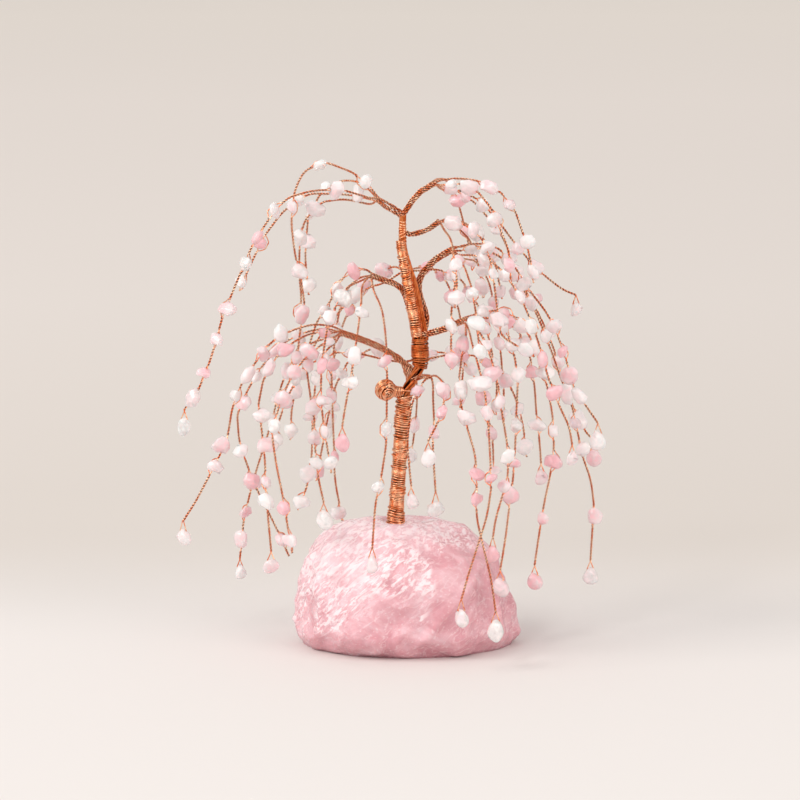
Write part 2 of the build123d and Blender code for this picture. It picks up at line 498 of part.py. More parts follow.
# Stone with the socket for the trunk, whose foot stands at the stone's top
foot = Vector(place(*trunk_shares[0]).X, 0, stone_height - foot_sink)
sections = []
for level_share, reach_shares in stone_level_shares:
    corners = []
    for k, reach_share in enumerate(reach_shares):
        angle = 2 * math.pi * k / len(reach_shares)
        x = math.cos(angle) * reach_share * stone_width / 2
        y = math.sin(angle) * reach_share * stone_depth / 2
        corners.append((x, y))
    face = make_face(Polyline(*corners, close=True))
    sections.append(Pos(0, 0, level_share * stone_height) * face)
stone = loft(sections, ruled=True)
socket_radius = core_root_d / 2 + glue_wall
socket_floor = Pos(foot.X, foot.Y, stone_height - socket_depth)
socket = socket_floor * Cylinder(socket_radius, socket_depth * 2, align=(Align.CENTER, Align.CENTER, Align.MIN))
stone = stone - socket

# Glue plug between the stone and the root of the trunk
glue_outer = Cylinder(
    socket_radius - seat_gap, socket_depth - seat_gap, align=(Align.CENTER, Align.CENTER, Align.MIN))
glue_inner = Cylinder(core_root_d / 2 + seat_gap, socket_depth, align=(Align.CENTER, Align.CENTER, Align.MIN))
glue = socket_floor * glue_outer - socket_floor * Pos(0, 0, glue_wall) * glue_inner

# Trunk core with its stubs
top_up = max(seat_up for seat_up, knee_shares in stem_shares.values())
knee_places = trunk_shares[:-1] + [(*trunk_shares[-1][:-1], top_up)]
knees = [foot] + [place(*share) for share in knee_places[1:]]
knee_ds = [core_foot_d, core_knob_d, core_bend_d, core_collar_d, core_upper_d, core_neck_d, core_top_d]
root_bottom = Vector(foot.X, foot.Y, stone_height - socket_depth + glue_wall + seat_gap)
core = Pos(*root_bottom) * Cylinder(
    core_root_d / 2, foot.Z - root_bottom.Z, align=(Align.CENTER, Align.CENTER, Align.MIN))
core += ball(foot, core_root_d)
for i in range(len(knees) - 1):
    core += limb(knees[i], knees[i + 1], knee_ds[i], knee_ds[i + 1])
    core += ball(knees[i + 1], knee_ds[i + 1])


def trunk_point(up):
    """Point of the trunk's centre line at a height in percent."""
    for low, high in zip(knee_places, knee_places[1:]):
        if low[2] <= up <= high[2]:
            share = (up - low[2]) / (high[2] - low[2])
            return place(low[0] + (high[0] - low[0]) * share, 0, up)


def ride_point(start, end, share):
    return start + (end - start) * share


# Stems: each starts face to face on its stub
stems = {}
stem_ends = {}
for name, (seat_up, knee_shares) in stem_shares.items():
    stem_d = bundle_d(len(strand_shares[name]))
    seat = trunk_point(seat_up)
    route = [place(*share) for share in knee_shares]
    outward = (route[0] - seat).normalized()
    start = seat + outward * stub_length
    core += Plane(origin=seat, z_dir=outward) * Cylinder(
        stem_d / 2, stub_length, align=(Align.CENTER, Align.CENTER, Align.MIN))
    points = [start] + route
    stems[name] = tube(points, stem_d, run_tangents(points))
    stem_ends[name] = (points[-1], (points[-1] - points[-2]).normalized(), knee_shares[-1][1])

# Knob: a stub that ends in a ball
knob_seat = trunk_point(100 * knob_seat_share)
knob_centre = place(*knob_shares)
knob_axis = (knob_centre - knob_seat).normalized()
knob_core = Plane(origin=knob_seat + knob_axis * stub_length, z_dir=knob_axis) * Cylinder(
    knob_stub_d / 2, (knob_centre - knob_seat).length - stub_length + knob_length / 2,
    align=(Align.CENTER, Align.CENTER, Align.MIN))
knob_core += ball(knob_centre, 2 * knob_radius - trunk_wire_d * 2 - wire_gap * 2)
core += Plane(origin=knob_seat, z_dir=knob_axis) * Cylinder(
    knob_stub_d / 2, stub_length, align=(Align.CENTER, Align.CENTER, Align.MIN))


# Windings
def over(start_d, end_d, shares, wire_d):
    """Radius of a winding's centre line over a tapering core, between two shares of the core's length."""
    def radius_at(share):
        along = shares[0] + (shares[1] - shares[0]) * share
        return (start_d + (end_d - start_d) * along + wire_d) / 2 + wire_gap
    return radius_at


def knob_radius_at(share):
    along = (share - 0.5) * knob_length
    centre_radius = knob_radius - trunk_wire_d / 2
    return math.sqrt(centre_radius ** 2 - along ** 2)


wrap_specs = {
    "lower_wrap": (knees[0], knees[1], lower_wrap_shares, lower_turns, trunk_wire_d,
                   over(core_foot_d, core_knob_d, lower_wrap_shares, trunk_wire_d)),
    "collar_wrap": (knees[3], knees[4], collar_wrap_shares, collar_turns, collar_wire_d,
                    over(core_collar_d, core_upper_d, collar_wrap_shares, collar_wire_d)),
    "upper_wrap": (knees[4], knees[5], upper_wrap_shares, upper_turns, trunk_wire_d,
                   over(core_upper_d, core_neck_d, upper_wrap_shares, trunk_wire_d)),
    "knob_wrap": (knob_centre - knob_axis * knob_length / 2, knob_centre + knob_axis * knob_length / 2,
                  (0, 1), knob_turns, trunk_wire_d, knob_radius_at),
}
wraps = {}
for name, (low, high, shares, turns, wire_d, radius_at) in wrap_specs.items():
    start = ride_point(low, high, shares[0])
    end = ride_point(low, high, shares[1])
    wraps[name] = winding(start, end, turns, radius_at, wire_d)
    gap = winding_gap(start, end, turns, radius_at, wire_d)
    print(name, "least gap between turns", round(gap, 2), "mm")


def ring_seats(end, outward, aims):
    """Seats on a stem's end face, in a ring, each on the side that its strand heads for."""
    frame = Plane(origin=end, z_dir=outward)
    angles = []
    offsets = []
    for aim in aims:
        local = frame.to_local_coords(aim)
        angles.append(math.atan2(local.Y, local.X))
        offsets.append(math.hypot(local.X, local.Y))
    order = sorted(range(len(aims)), key=lambda i: angles[i])
    seats = [end] * len(aims)
    if len(aims) > ring_most:
        order.remove(offsets.index(min(offsets)))
    ring = ring_radius(len(aims))
    for slot, i in enumerate(order):
        angle = angles[order[0]] + 2 * math.pi * slot / len(order)
        seats[i] = frame.from_local_coords(Vector(ring * math.cos(angle), ring * math.sin(angle), 0))
    return seats


def nearest_place(points, seen, spot, half, tail):
    """Run of a strand, and the length along it, nearest to a spot seen from the front, with room for a chip."""
    ahead = len(points) - len(seen)
    best = (True, math.inf)
    for k in range(len(seen) - 1):
        ax, ay = seen[k]
        dx = seen[k + 1][0] - ax
        dy = seen[k + 1][1] - ay
        share = ((spot[0] - ax) * dx + (spot[1] - ay) * dy) / (dx * dx + dy * dy)
        share = min(max(share, 0), 1)
        miss = math.hypot(ax + dx * share - spot[0], ay + dy * share - spot[1])
        length = (points[ahead + k + 1] - points[ahead + k]).length
        first = half + knee_room
        last = length - half - (tail if ahead + k == len(points) - 2 else knee_room)
        too_short = first > last
        if (too_short, miss) < best:
            best = (too_short, miss)
            run = ahead + k
            along = length / 2 if too_short else max(min(share * length, last), first)
    return run, along


def chip_frame(point, heading, number):
    """Where a chip is threaded: its hole along the wire, turned about it a little further than the last."""
    side = heading.cross(Vector(0, 1, 0)).normalized()
    side = side.rotate(Axis((0, 0, 0), heading), chip_turn * number)
    return Plane(origin=point, x_dir=heading, z_dir=side)


def open_loop(end, bar, form):
    """Closed wire loop under a strand's end, with its bar level, and the middle of that bar."""
    half, side = loop_size(form)
    frame = Plane(origin=end, x_dir=bar, z_dir=bar.cross(Vector(0, 0, 1)))
    corners = [(0, loop_root), (-half, -loop_rise), (-half, -loop_rise - side), (half, -loop_rise - side),
               (half, -loop_rise)]
    path = FilletPolyline(*[frame.from_local_coords(Vector(x, y, 0)) for x, y in corners],
                          radius=loop_corner, close=True)
    profile = Plane(origin=path @ 0, z_dir=path % 0) * Circle(loop_wire_d / 2)
    return sweep(profile.face(), path=path), end - Vector(0, 0, loop_rise + side)


# Strands, their chips and the swinging drops
chip_kinds = [chip(kind) for kind in range(len(chip_form_shares) * len(chip_size_shares))]
strands = {}
rose_chips = {}
milky_chips = []
drops = []
routes = []
chip_count = 0
for name, rows in strand_shares.items():
    end, outward, stem_back = stem_ends[name]
    bough_routes = []
    for back, seen, rose, milky, hold in rows:
        route = []
        for k, (across, up) in enumerate(seen):
            eased = math.sin(math.pi / 2 * (k + 1) / len(seen))
            route.append(place(across, stem_back + (back - stem_back) * eased, up))
        bough_routes.append(route)
    seats = ring_seats(end, outward, [route[0] for route in bough_routes])
    strands[name] = []
    rose_chips[name] = []
    for seat, route, (back, seen, rose, milky, hold) in zip(seats, bough_routes, rows):
        points = [seat, seat + outward * strand_lead] + route
        tail = chip_tail if hold == "tied" else loop_rise
        keep_outs = []
        spots = [(spot, rose_chips[name]) for spot in rose] + [(spot, milky_chips) for spot in milky]
        for spot, node in spots:
            kind = chip_count % len(chip_kinds)
            half = chip_reach(kind)
            run, along = nearest_place(points, seen, spot, half, tail)
            heading = (points[run + 1] - points[run]).normalized()
            frame = chip_frame(points[run] + heading * along, heading, chip_count)
            node.append(frame * chip_kinds[kind])
            keep_outs.append((run, along - half, along + half))
            chip_count += 1
        strand = tube(points, strand_d, run_tangents(points, keep_outs))
        if hold == "swings":
            number = len(drops)
            angle = math.radians(loop_turn_start + loop_turn * number % loop_turn_range)
            bar = Vector(math.cos(angle), math.sin(angle), 0)
            loop, middle = open_loop(points[-1], bar, number)
            strand = strand + loop
            drops.append((middle, bar, Plane(origin=middle, x_dir=bar, z_dir=(0, 0, 1)) * drop(number)))
        strands[name].append(strand)
        routes.append((name, points, keep_outs))

# Every node, written as one file of separate solids
nodes = {"base_stone": [stone], "glue_plug": [glue], "trunk_core": [core], "knob_core": [knob_core]}
for name, wrap in wraps.items():
    nodes[name] = [wrap]
for name in stem_shares:
    nodes[name + "_stem"] = [stems[name]]
    nodes[name + "_strands"] = strands[name]
    nodes[name + "_chips"] = rose_chips[name]
nodes["milky_chips"] = milky_chips
for number, (middle, bar, solid) in enumerate(drops):
    nodes[f"swing_chip_{number + 1:02d}"] = [solid]
for name, solids in nodes.items():
    export_step(Compound(children=[shape.solid() for shape in solids]), f"parts/{name}.step")
print(len(nodes), "nodes,", chip_count, "chips,", len(drops), "swinging chips")
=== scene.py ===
# %% [markdown]
# # A gemstone tree in copper wire and rose quartz
# The object is a small table ornament: a rough lump of rose quartz carries a trunk of bundled
# copper wire, and drooping strands of twisted wire hold drilled, tumbled chips. The measured model
# gives every place and size. This lesson dresses it: twisted wires where the model has plain bars,
# pebbles where it has bevelled blocks, and a rough crystal where it has a smooth one.

# %% Load the measured model
import json
import math
import random

import bmesh
import bpy
from mathutils import Matrix, Vector, kdtree, noise


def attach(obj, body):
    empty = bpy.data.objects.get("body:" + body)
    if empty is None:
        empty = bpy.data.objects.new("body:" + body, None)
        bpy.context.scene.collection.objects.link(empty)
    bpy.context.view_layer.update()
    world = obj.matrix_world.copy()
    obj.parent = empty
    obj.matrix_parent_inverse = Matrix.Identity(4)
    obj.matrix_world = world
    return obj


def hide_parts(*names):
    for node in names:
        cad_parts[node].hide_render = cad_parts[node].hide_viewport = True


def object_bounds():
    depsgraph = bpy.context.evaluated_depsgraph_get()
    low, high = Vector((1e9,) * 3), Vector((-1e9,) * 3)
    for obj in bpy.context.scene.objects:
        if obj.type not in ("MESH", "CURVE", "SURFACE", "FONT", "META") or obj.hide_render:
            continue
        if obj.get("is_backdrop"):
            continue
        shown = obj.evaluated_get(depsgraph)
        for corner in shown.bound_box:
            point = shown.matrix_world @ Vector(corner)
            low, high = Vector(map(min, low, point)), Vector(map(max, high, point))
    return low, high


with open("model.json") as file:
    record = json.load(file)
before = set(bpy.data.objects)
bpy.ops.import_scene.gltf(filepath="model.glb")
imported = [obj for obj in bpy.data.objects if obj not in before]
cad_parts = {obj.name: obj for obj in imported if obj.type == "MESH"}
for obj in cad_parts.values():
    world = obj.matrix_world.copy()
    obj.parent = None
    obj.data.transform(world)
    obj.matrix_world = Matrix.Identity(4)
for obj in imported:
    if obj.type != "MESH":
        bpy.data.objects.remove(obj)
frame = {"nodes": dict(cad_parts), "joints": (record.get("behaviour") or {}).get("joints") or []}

MM = 0.001
chance = random.Random(11)
cad_low, cad_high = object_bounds()
print("model box in mm", [round(v / MM, 1) for v in cad_low], [round(v / MM, 1) for v in cad_high])


def add_object(name, data):
    """A new object in the scene."""
    new = bpy.data.objects.new(name, data)
    bpy.context.scene.collection.objects.link(new)
    return new


# %% [markdown]
# ## Camera
# A product photographer stands well back with a long lens, so that the near and far strands keep
# their sizes. The camera here stands 1.2 m away, nine degrees above the table, and its lens is
# worked out from the width of the picture at that distance. Placing it by numbers keeps the
# picture repeatable.

# %% Camera
camera_distance = 1200 * MM
camera_tilt = math.radians(9)
picture_width = 264 * MM
look_at = Vector((-2 * MM, 0, 82 * MM))
camera = add_object("camera", bpy.data.cameras.new("camera"))
camera.data.sensor_width = 36
camera.data.lens = 36 * camera_distance / picture_width
camera.location = look_at + camera_distance * Vector((0, -math.cos(camera_tilt), math.sin(camera_tilt)))
camera.rotation_euler = (math.radians(90) - camera_tilt, 0, 0)
bpy.context.scene.camera = camera
print("lens", round(camera.data.lens, 1), "mm")

# %% [markdown]
# ## Colours and material nodes
# Paint charts and pictures give colours as sRGB hex values, but light adds up in linear values, so one
# function turns the first into the second. One more adds a node, sets it and links it. Each material
# below is then a short list of nodes that reads like a recipe.

# %% Colour and node helpers
def linear(hex_value):
    """Linear RGBA of an sRGB hex colour."""
    channels = [int(hex_value[i:i + 2], 16) / 255 for i in (1, 3, 5)]
    return (*[c / 12.92 if c <= 0.04045 else ((c + 0.055) / 1.055) ** 2.4 for c in channels], 1)


def node(material, kind, settings=None, inputs=None):
    """A new node of a material or world; an input given as an output is linked, any other is set."""
    new = material.node_tree.nodes.new("ShaderNode" + kind)
    for key, value in (settings or {}).items():
        setattr(new, key, value)
    for key, value in (inputs or {}).items():
        if isinstance(value, bpy.types.NodeSocket):
            material.node_tree.links.new(value, new.inputs[key])
        else:
            new.inputs[key].default_value = value
    return new


def ramp(material, value, stops):
    """Colour ramp over a value, from a list of places and hex colours."""
    new = node(material, "ValToRGB", inputs={"Fac": value})
    points = new.color_ramp.elements
    while len(points) < len(stops):
        points.new(0.5)
    for point, (place, colour) in zip(points, stops):
        point.position = place
        point.color = linear(colour)
    return new.outputs["Color"]


def new_material(name):
    """An empty material and its surface shader."""
    material = bpy.data.materials.new(name)
    material.use_nodes = True
    shader = material.node_tree.nodes["Principled BSDF"]
    return material, shader


smoothly = {"interpolation_type": "SMOOTHSTEP"}


def per_mm(millimetres):
    """Texture scale at which a pattern's features are so many millimetres apart."""
    return 1 / (millimetres * MM)


# %% [markdown]
# ## Copper
# Craft wire is drawn, annealed copper. A metal has no colour but its reflection, so the base colour
# carries the copper. A noise a few millimetres wide lets the colour wander from peach to a deeper
# red-brown as handled wire does, and its brightest stops also paint glints along the wire, which are
# painted highlights. Each piece also stores how far out each point lies on its wire, and the material
# darkens the hollows between wires and turns with it, which is painted shade.

# %% Copper materials
def copper(name, bright, middle, deep, roughness, hollow):
    """Copper wire whose colour wanders, with painted glints; hollow is how far out on a wire the painted
    shade of the hollows reaches.
    """
    material, shader = new_material(name)
    place = node(material, "TexCoord").outputs["Object"]
    # The brightest stops of this noise paint glints along the wire: painted highlights, beside the
    # wire's own changing colour.
    wander = node(material, "TexNoise", inputs={"Vector": place, "Scale": per_mm(1.7), "Detail": 3.0})
    tone_and_glints = ramp(material, wander.outputs["Fac"], [(0.38, middle), (0.62, bright)])
    # Painted shade: the colour darkens towards the hollows between wires and turns, by how far out each
    # point lies on its wire.
    outer = node(material, "Attribute", {"attribute_name": "outer"}).outputs["Fac"]
    painted_hollow_shade = node(material, "MapRange", smoothly, {
        "Value": outer, "From Min": hollow, "From Max": hollow + 0.38})
    shown = node(material, "Mix", {"data_type": "RGBA"}, {
        "Factor": painted_hollow_shade.outputs[0], 6: linear(deep), 7: tone_and_glints})
    material.node_tree.links.new(shown.outputs[2], shader.inputs["Base Color"])
    drawn = node(material, "TexNoise", inputs={"Vector": place, "Scale": per_mm(0.35), "Detail": 2.0})
    rough = node(material, "MapRange", inputs={
        "Value": drawn.outputs["Fac"], "To Min": roughness - 0.08, "To Max": roughness + 0.12})
    material.node_tree.links.new(rough.outputs["Result"], shader.inputs["Roughness"])
    shader.inputs["Metallic"].default_value = 1.0
    return material


# In each copper below, the darkest colour is the painted shade of the hollows and the brightest carries
# painted glints.
strand_copper = copper("drawn_copper_wire", "#FFD2B0", "#EA7640", "#461003", 0.22, 0.54)
winding_copper = copper("wound_copper_wire", "#FFCBA4", "#E98550", "#702E0F", 0.22, 0.42)
# A darker, shaded copy of the wound copper for the bundle, the collar, the side member and the knob's
# heart: painted shade.
painted_shade_copper = copper("shaded_copper_wire", "#DC8450", "#BC5B2A", "#501A07", 0.28, 0.46)
print("copper materials made")

# %% [markdown]
# ## Lines read back from the model
# In the measured model every strand is a round bar, and its surface is a chain of rings. The rim of
# an end cap is the only sharp edge, so the walk starts there, nearest to the trunk, and goes on from
# ring to ring. The middle of each ring is a place on the bar's middle line. This way the wires follow
# the model exactly, and nothing has to be typed twice.

# %% Middle lines of the bars
strand_radius = 0.38 * MM
stem_rim_reach = 3.2 * MM
ring_slack = 1.4
sharp_angle = math.radians(60)


def merged(cad_node):
    """A bmesh of a node of the model with its doubled corners merged."""
    whole = bmesh.new()
    whole.from_mesh(frame["nodes"][cad_node].data)
    bmesh.ops.remove_doubles(whole, verts=whole.verts, dist=1e-6)
    whole.normal_update()
    return whole


def finished(work, name):
    """A mesh of a bmesh, which is freed."""
    mesh = bpy.data.meshes.new(name)
    work.to_mesh(mesh)
    work.free()
    return mesh


def in_order(items):
    """The items without repeats, in the order in which they come, so that each run is the same."""
    return list(dict.fromkeys(items))


def hull_of(work, verts):
    """Wraps some vertices of a bmesh in their convex hull and deletes those inside it."""
    hull = bmesh.ops.convex_hull(work, input=verts)
    spare = in_order(item for item in hull["geom_interior"] + hull["geom_unused"]
                     if isinstance(item, bmesh.types.BMVert))
    bmesh.ops.delete(work, geom=spare, context="VERTS")


def loose_parts(whole):
    """The vertices of each separate solid of a bmesh, in the order of the mesh."""
    seen = set()
    parts = []
    for start in whole.verts:
        if start in seen:
            continue
        seen.add(start)
        part = [start]
        for vert in part:
            for edge in vert.link_edges:
                other = edge.other_vert(vert)
                if other not in seen:
                    seen.add(other)
                    part.append(other)
        parts.append(part)
    return parts


def middle(verts):
    """Mean place of some vertices."""
    return sum((vert.co for vert in verts), Vector()) / len(verts)


def sharp_verts(verts):
    """The vertices on sharp edges, which are the rims of a bar's end caps."""
    return [vert for vert in verts
            if any(edge.calc_face_angle(0) > sharp_angle for edge in vert.link_edges)]


def end_rim(part, near):
    """The vertices round the end cap of a bar that lies nearest to a point."""
    rims = sharp_verts(part)
    first = min(rims, key=lambda vert: (vert.co - near).length)
    return [vert for vert in rims if (vert.co - first.co).length < 4 * strand_radius]


def middle_line(rim, radius):
    """Places along the middle of a round bar, walked ring by ring from an end rim."""
    line = [middle(rim)]
    seen = set(rim)
    ring = rim
    while ring:
        around_it = in_order(edge.other_vert(vert) for vert in ring for edge in vert.link_edges)
        ring = [vert for vert in around_it if vert not in seen]
        seen.update(ring)
        if not ring or max((vert.co - middle(ring)).length for vert in ring) > radius * ring_slack:
            break
        line.append(middle(ring))
    return line


trunk_knees = [Vector(knee) * MM for knee in [
    (-3.8, 0, 36), (-0.8, 0, 83.3), (2.3, 0, 89.3), (4.8, 0, 93.0), (4.4, 0, 103.3), (-1.3, 0, 134.4),
    (-1.1, 0, 143.3)]]
boughs = ["top_left", "top_right", "sprig", "upper_right", "upper_left", "upper_back", "lower_right",
          "lower_front", "lower_left", "lower_back"]


def trunk_place(point):
    """The place on the trunk's middle line that is nearest to a point."""
    places = [a.lerp(b, step / 40) for a, b in zip(trunk_knees, trunk_knees[1:]) for step in range(41)]
    return min(places, key=lambda place: (place - point).length)


stem_lines = {}
strand_lines = {}
for bough in boughs:
    whole = merged(bough + "_stem")
    rims = sharp_verts(whole.verts)
    first = min(rims, key=lambda vert: (vert.co - trunk_place(vert.co)).length)
    rim = [vert for vert in rims if (vert.co - first.co).length < stem_rim_reach]
    stem_radius = max((vert.co - middle(rim)).length for vert in rim)
    line = middle_line(rim, stem_radius)
    inward = (line[0] - line[1]).normalized()
    stem_lines[bough] = [line[0] + inward * 3 * MM] + line
    whole.free()
    whole = merged(bough + "_strands")
    strand_lines[bough] = [
        middle_line(end_rim(part, line[-1]), strand_radius) for part in loose_parts(whole)]
    whole.free()
print("strands", sum(len(lines) for lines in strand_lines.values()), "places along them",
      sum(len(line) for lines in strand_lines.values() for line in lines))

# %% [markdown]
# ## Paths and wires
# A wire needs three things: a path of evenly spaced places, two cross directions that don't spin round
# as the path bends, and a round section swept along it. The cross directions are carried from place to
# place and straightened each time, which is called parallel transport. Blender's curve object sweeps
# the section, and its result is turned into a mesh so that it can be merged.

# %% Path helpers
def evenly(points, step):
    """Places a fixed step apart along a path, ending at its end."""
    places = [points[0].copy()]
    left = step
    for a, b in zip(points, points[1:]):
        gap = (b - a).length
        walked = 0.0
        while gap - walked >= left:
            walked += left
            places.append(a.lerp(b, walked / gap))
            left = step
        left -= gap - walked
    if (places[-1] - points[-1]).length > step / 2:
        places.append(points[-1].copy())
    return places


def eased(places, rounds):
    """The same places with each drawn towards its neighbours, which rounds the corners."""
    for _ in range(rounds):
        inner = [(a + 2 * b + c) / 4 for a, b, c in zip(places, places[1:], places[2:])]
        places = [places[0]] + inner + [places[-1]]
    return places


def ease_step(value):
    """Rises smoothly from 0 to 1 as the value does."""
    value = min(1.0, max(0.0, value))
    return value * value * (3 - 2 * value)


def frames_along(places):
    """The direction ahead and two steady cross directions at each place of a path."""
    side = (places[1] - places[0]).orthogonal().normalized()
    frames = []
    for index in range(len(places)):
        ahead = (places[min(index + 1, len(places) - 1)] - places[max(index - 1, 0)]).normalized()
        side = (side - ahead * side.dot(ahead)).normalized()
        frames.append((ahead, side, ahead.cross(side)))
    return frames


def frame_on(axis):
    """An axis with two steady directions across it."""
    side = axis.orthogonal().normalized()
    return axis, side, axis.cross(side)


def around(frame, angle):
    """The cross direction of a frame at an angle."""
    return frame[1] * math.cos(angle) + frame[2] * math.sin(angle)


def put(name, mesh, material, body="tree"):
    """Puts a finished mesh into the scene as a smooth piece that rides on a body."""
    mesh.materials.clear()
    mesh.materials.append(material)
    mesh.shade_smooth()
    piece = add_object(name, mesh)
    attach(piece, body)
    return piece


def wire_mesh(name, runs, radius, axes):
    """A mesh of six-sided wires, one along each run of places, which goes round its own axis places."""
    curve = bpy.data.curves.new(name, "CURVE")
    curve.dimensions = "3D"
    curve.bevel_depth = radius
    curve.bevel_resolution = 1
    curve.use_fill_caps = True
    for run in runs:
        spline = curve.splines.new("POLY")
        spline.points.add(len(run) - 1)
        for point, place in zip(spline.points, run):
            point.co = (*place, 1)
    guide = bpy.data.objects.new(name, curve)
    swept = bpy.data.meshes.new_from_object(guide)
    bpy.data.objects.remove(guide)
    middles = [pair for run, axis in zip(runs, axes) for pair in zip(run, axis)]
    finder = kdtree.KDTree(len(middles))
    for number, (place, axis_place) in enumerate(middles):
        finder.insert(place, number)
    finder.balance()
    work = bmesh.new()
    work.from_mesh(swept)
    bmesh.ops.remove_doubles(work, verts=work.verts, dist=1e-7)
    bmesh.ops.recalc_face_normals(work, faces=work.faces)
    outer = work.verts.layers.float.new("outer")
    for vert in work.verts:
        place, axis_place = middles[finder.find(vert.co)[1]]
        beyond = (vert.co - axis_place).length - (place - axis_place).length
        vert[outer] = 0.5 + 0.5 * beyond / radius
    work.to_mesh(swept)
    work.free()
    return swept


# %% [markdown]
# ## Where the chips sit on the wires
# Every chip of the model has a drill hole with a strand through it. The corners of the hole lie closer
# to that strand than to any other, so a search tree of all the places along all the strands tells
# whose chip it is and how far along. The chip's thinnest side at the back is found as well, because the
# second wire of the pair goes round the chip there, where it shows least.

# %% Strand paths
twist_pitch = 2.1 * MM
wire_radius = 0.195 * MM
wire_step = twist_pitch / 10
rope_lay = 16 * MM
bundle_reach = 2.1 * MM
close_reach = 2.6 * MM
spread_reach = 6.5 * MM
tip_reach = 6 * MM
tip_gap = 0.3 * MM
loop_rise = 1.5 * MM
drop_sizes = [length * 6.6 * MM for length in (0.92, 0.78, 1.12)]
drop_shares = [0.92, 0.92, 0.78, 0.86, 0.90, 0.84, 0.88, 0.95, 0.78, 1.0, 0.92,
               0.72, 1.06, 0.94, 0.84, 0.86, 0.9, 0.66, 1.0, 0.86, 0.82]
drops = []
for joint in sorted(frame["joints"], key=lambda joint: joint["name"]):
    size = drop_sizes[len(drops) % 3]
    share = drop_shares[len(drops)]
    place = Vector(joint["pos_m"])
    side = 0.22 * size + 0.5 * MM
    drops.append({"body": joint["name"].replace("_sway", ""), "place": place, "share": share,
                  "across": Vector(joint["axis"]).normalized(),
                  "half": (0.17 * size + 0.4 * MM) * share,
                  "tip": place + Vector((0, 0, loop_rise + side))})
print("swinging drops", len(drops))


def drawn_in(place):
    """A stem's place, drawn towards the trunk where the two run side by side."""
    away = place - trunk_place(place)
    reach = away.length
    spread = ease_step((reach - close_reach) / spread_reach)
    nearer = bundle_reach + max(0.0, reach - bundle_reach) * spread
    return place + away.normalized() * (min(reach, nearer) - reach)


strands = []
for bough in boughs:
    stem = eased([drawn_in(place) for place in evenly(stem_lines[bough], wire_step)], 30)
    stem_frames = frames_along(stem)
    for line in strand_lines[bough]:
        drop = min(drops, key=lambda drop: (drop["tip"] - line[-1]).length)
        if (drop["tip"] - line[-1]).length > tip_reach:
            drop = None
        if drop:
            line = [point for point in line if (point - drop["tip"]).length > tip_gap] + [drop["tip"]]
        seat = line[0] - stem[-1]
        turn = math.atan2(seat.dot(stem_frames[-1][2]), seat.dot(stem_frames[-1][1]))
        rope = []
        for index, (place, frame_here) in enumerate(zip(stem, stem_frames)):
            lay = (len(stem) - 1 - index) * wire_step / rope_lay * math.tau
            rope.append(place + around(frame_here, turn + lay) * seat.length)
        path = eased(evenly(rope + line[1:], wire_step), 14)
        strands.append({"bough": bough, "path": path, "frames": frames_along(path), "drop": drop,
                        "chips": []})
print("strand paths", len(strands), "with a drop", sum(1 for strand in strands if strand["drop"]),
      "longest", round(max(len(strand["path"]) for strand in strands) * wire_step / MM), "mm")

# %% Chips matched to their strands
bore_reach = 0.75 * MM
places = [(index, count, place) for index, strand in enumerate(strands)
          for count, place in enumerate(strand["path"])]
nearest = kdtree.KDTree(len(places))
for number, (index, count, place) in enumerate(places):
    nearest.insert(place, number)
nearest.balance()
chips = []
for cad_node in [bough + "_chips" for bough in boughs] + ["milky_chips"]:
    whole = merged(cad_node)
    for part in loose_parts(whole):
        hits = {}
        for vert in part:
            where, number, distance = nearest.find(vert.co)
            if distance < bore_reach:
                hits.setdefault(places[number][0], []).append(places[number][1])
        index = max(hits, key=lambda key: len(hits[key]))
        chip = {"node": cad_node, "corners": [vert.co.copy() for vert in part],
                "at": round(sum(hits[index]) / len(hits[index]))}
        strand = strands[index]
        centre = strand["path"][chip["at"]]
        frame_here = strand["frames"][chip["at"]]
        ahead = [(corner - centre).dot(frame_here[0]) for corner in chip["corners"]]
        chip["front"] = max(ahead)
        chip["back"] = -min(ahead)
        reach = {}
        for angle in [math.tau * turn / 12 for turn in range(12)]:
            way = around(frame_here, angle)
            reach[angle] = max((corner - centre).dot(way) for corner in chip["corners"])
        backwards = [angle for angle in reach if around(frame_here, angle).y > 0.4] or list(reach)
        chip["angle"] = min(backwards, key=reach.get)
        chip["thick"] = reach[chip["angle"]]
        sideways = middle(part) - centre
        sideways -= frame_here[0] * sideways.dot(frame_here[0])
        chip["centre"], chip["heavy"] = centre, sideways.normalized()
        strand["chips"].append(chip)
        chips.append(chip)
    whole.free()
print("chips", len(chips), "mean half thickness",
      round(sum(chip["thick"] for chip in chips) / len(chips) / MM, 2), "mm")

# %% [markdown]
# ## Twisted strands
# On the real tree a strand is one soft wire folded in two. One half goes through a chip, the other
# half round it, and then both are twisted together up to the next chip. So each wire circles the path
# at half its own thickness, and near a chip the circling fades out: the first wire runs straight
# through the hole, and the second swells out over the thin side. Each fork shows the chip hanging in a
# small V, which is what makes such a tree look handmade.

# %% Twisted strands
fork_length = 1.5 * MM
twist_slack = 1.12
leg_step = 0.12 * MM


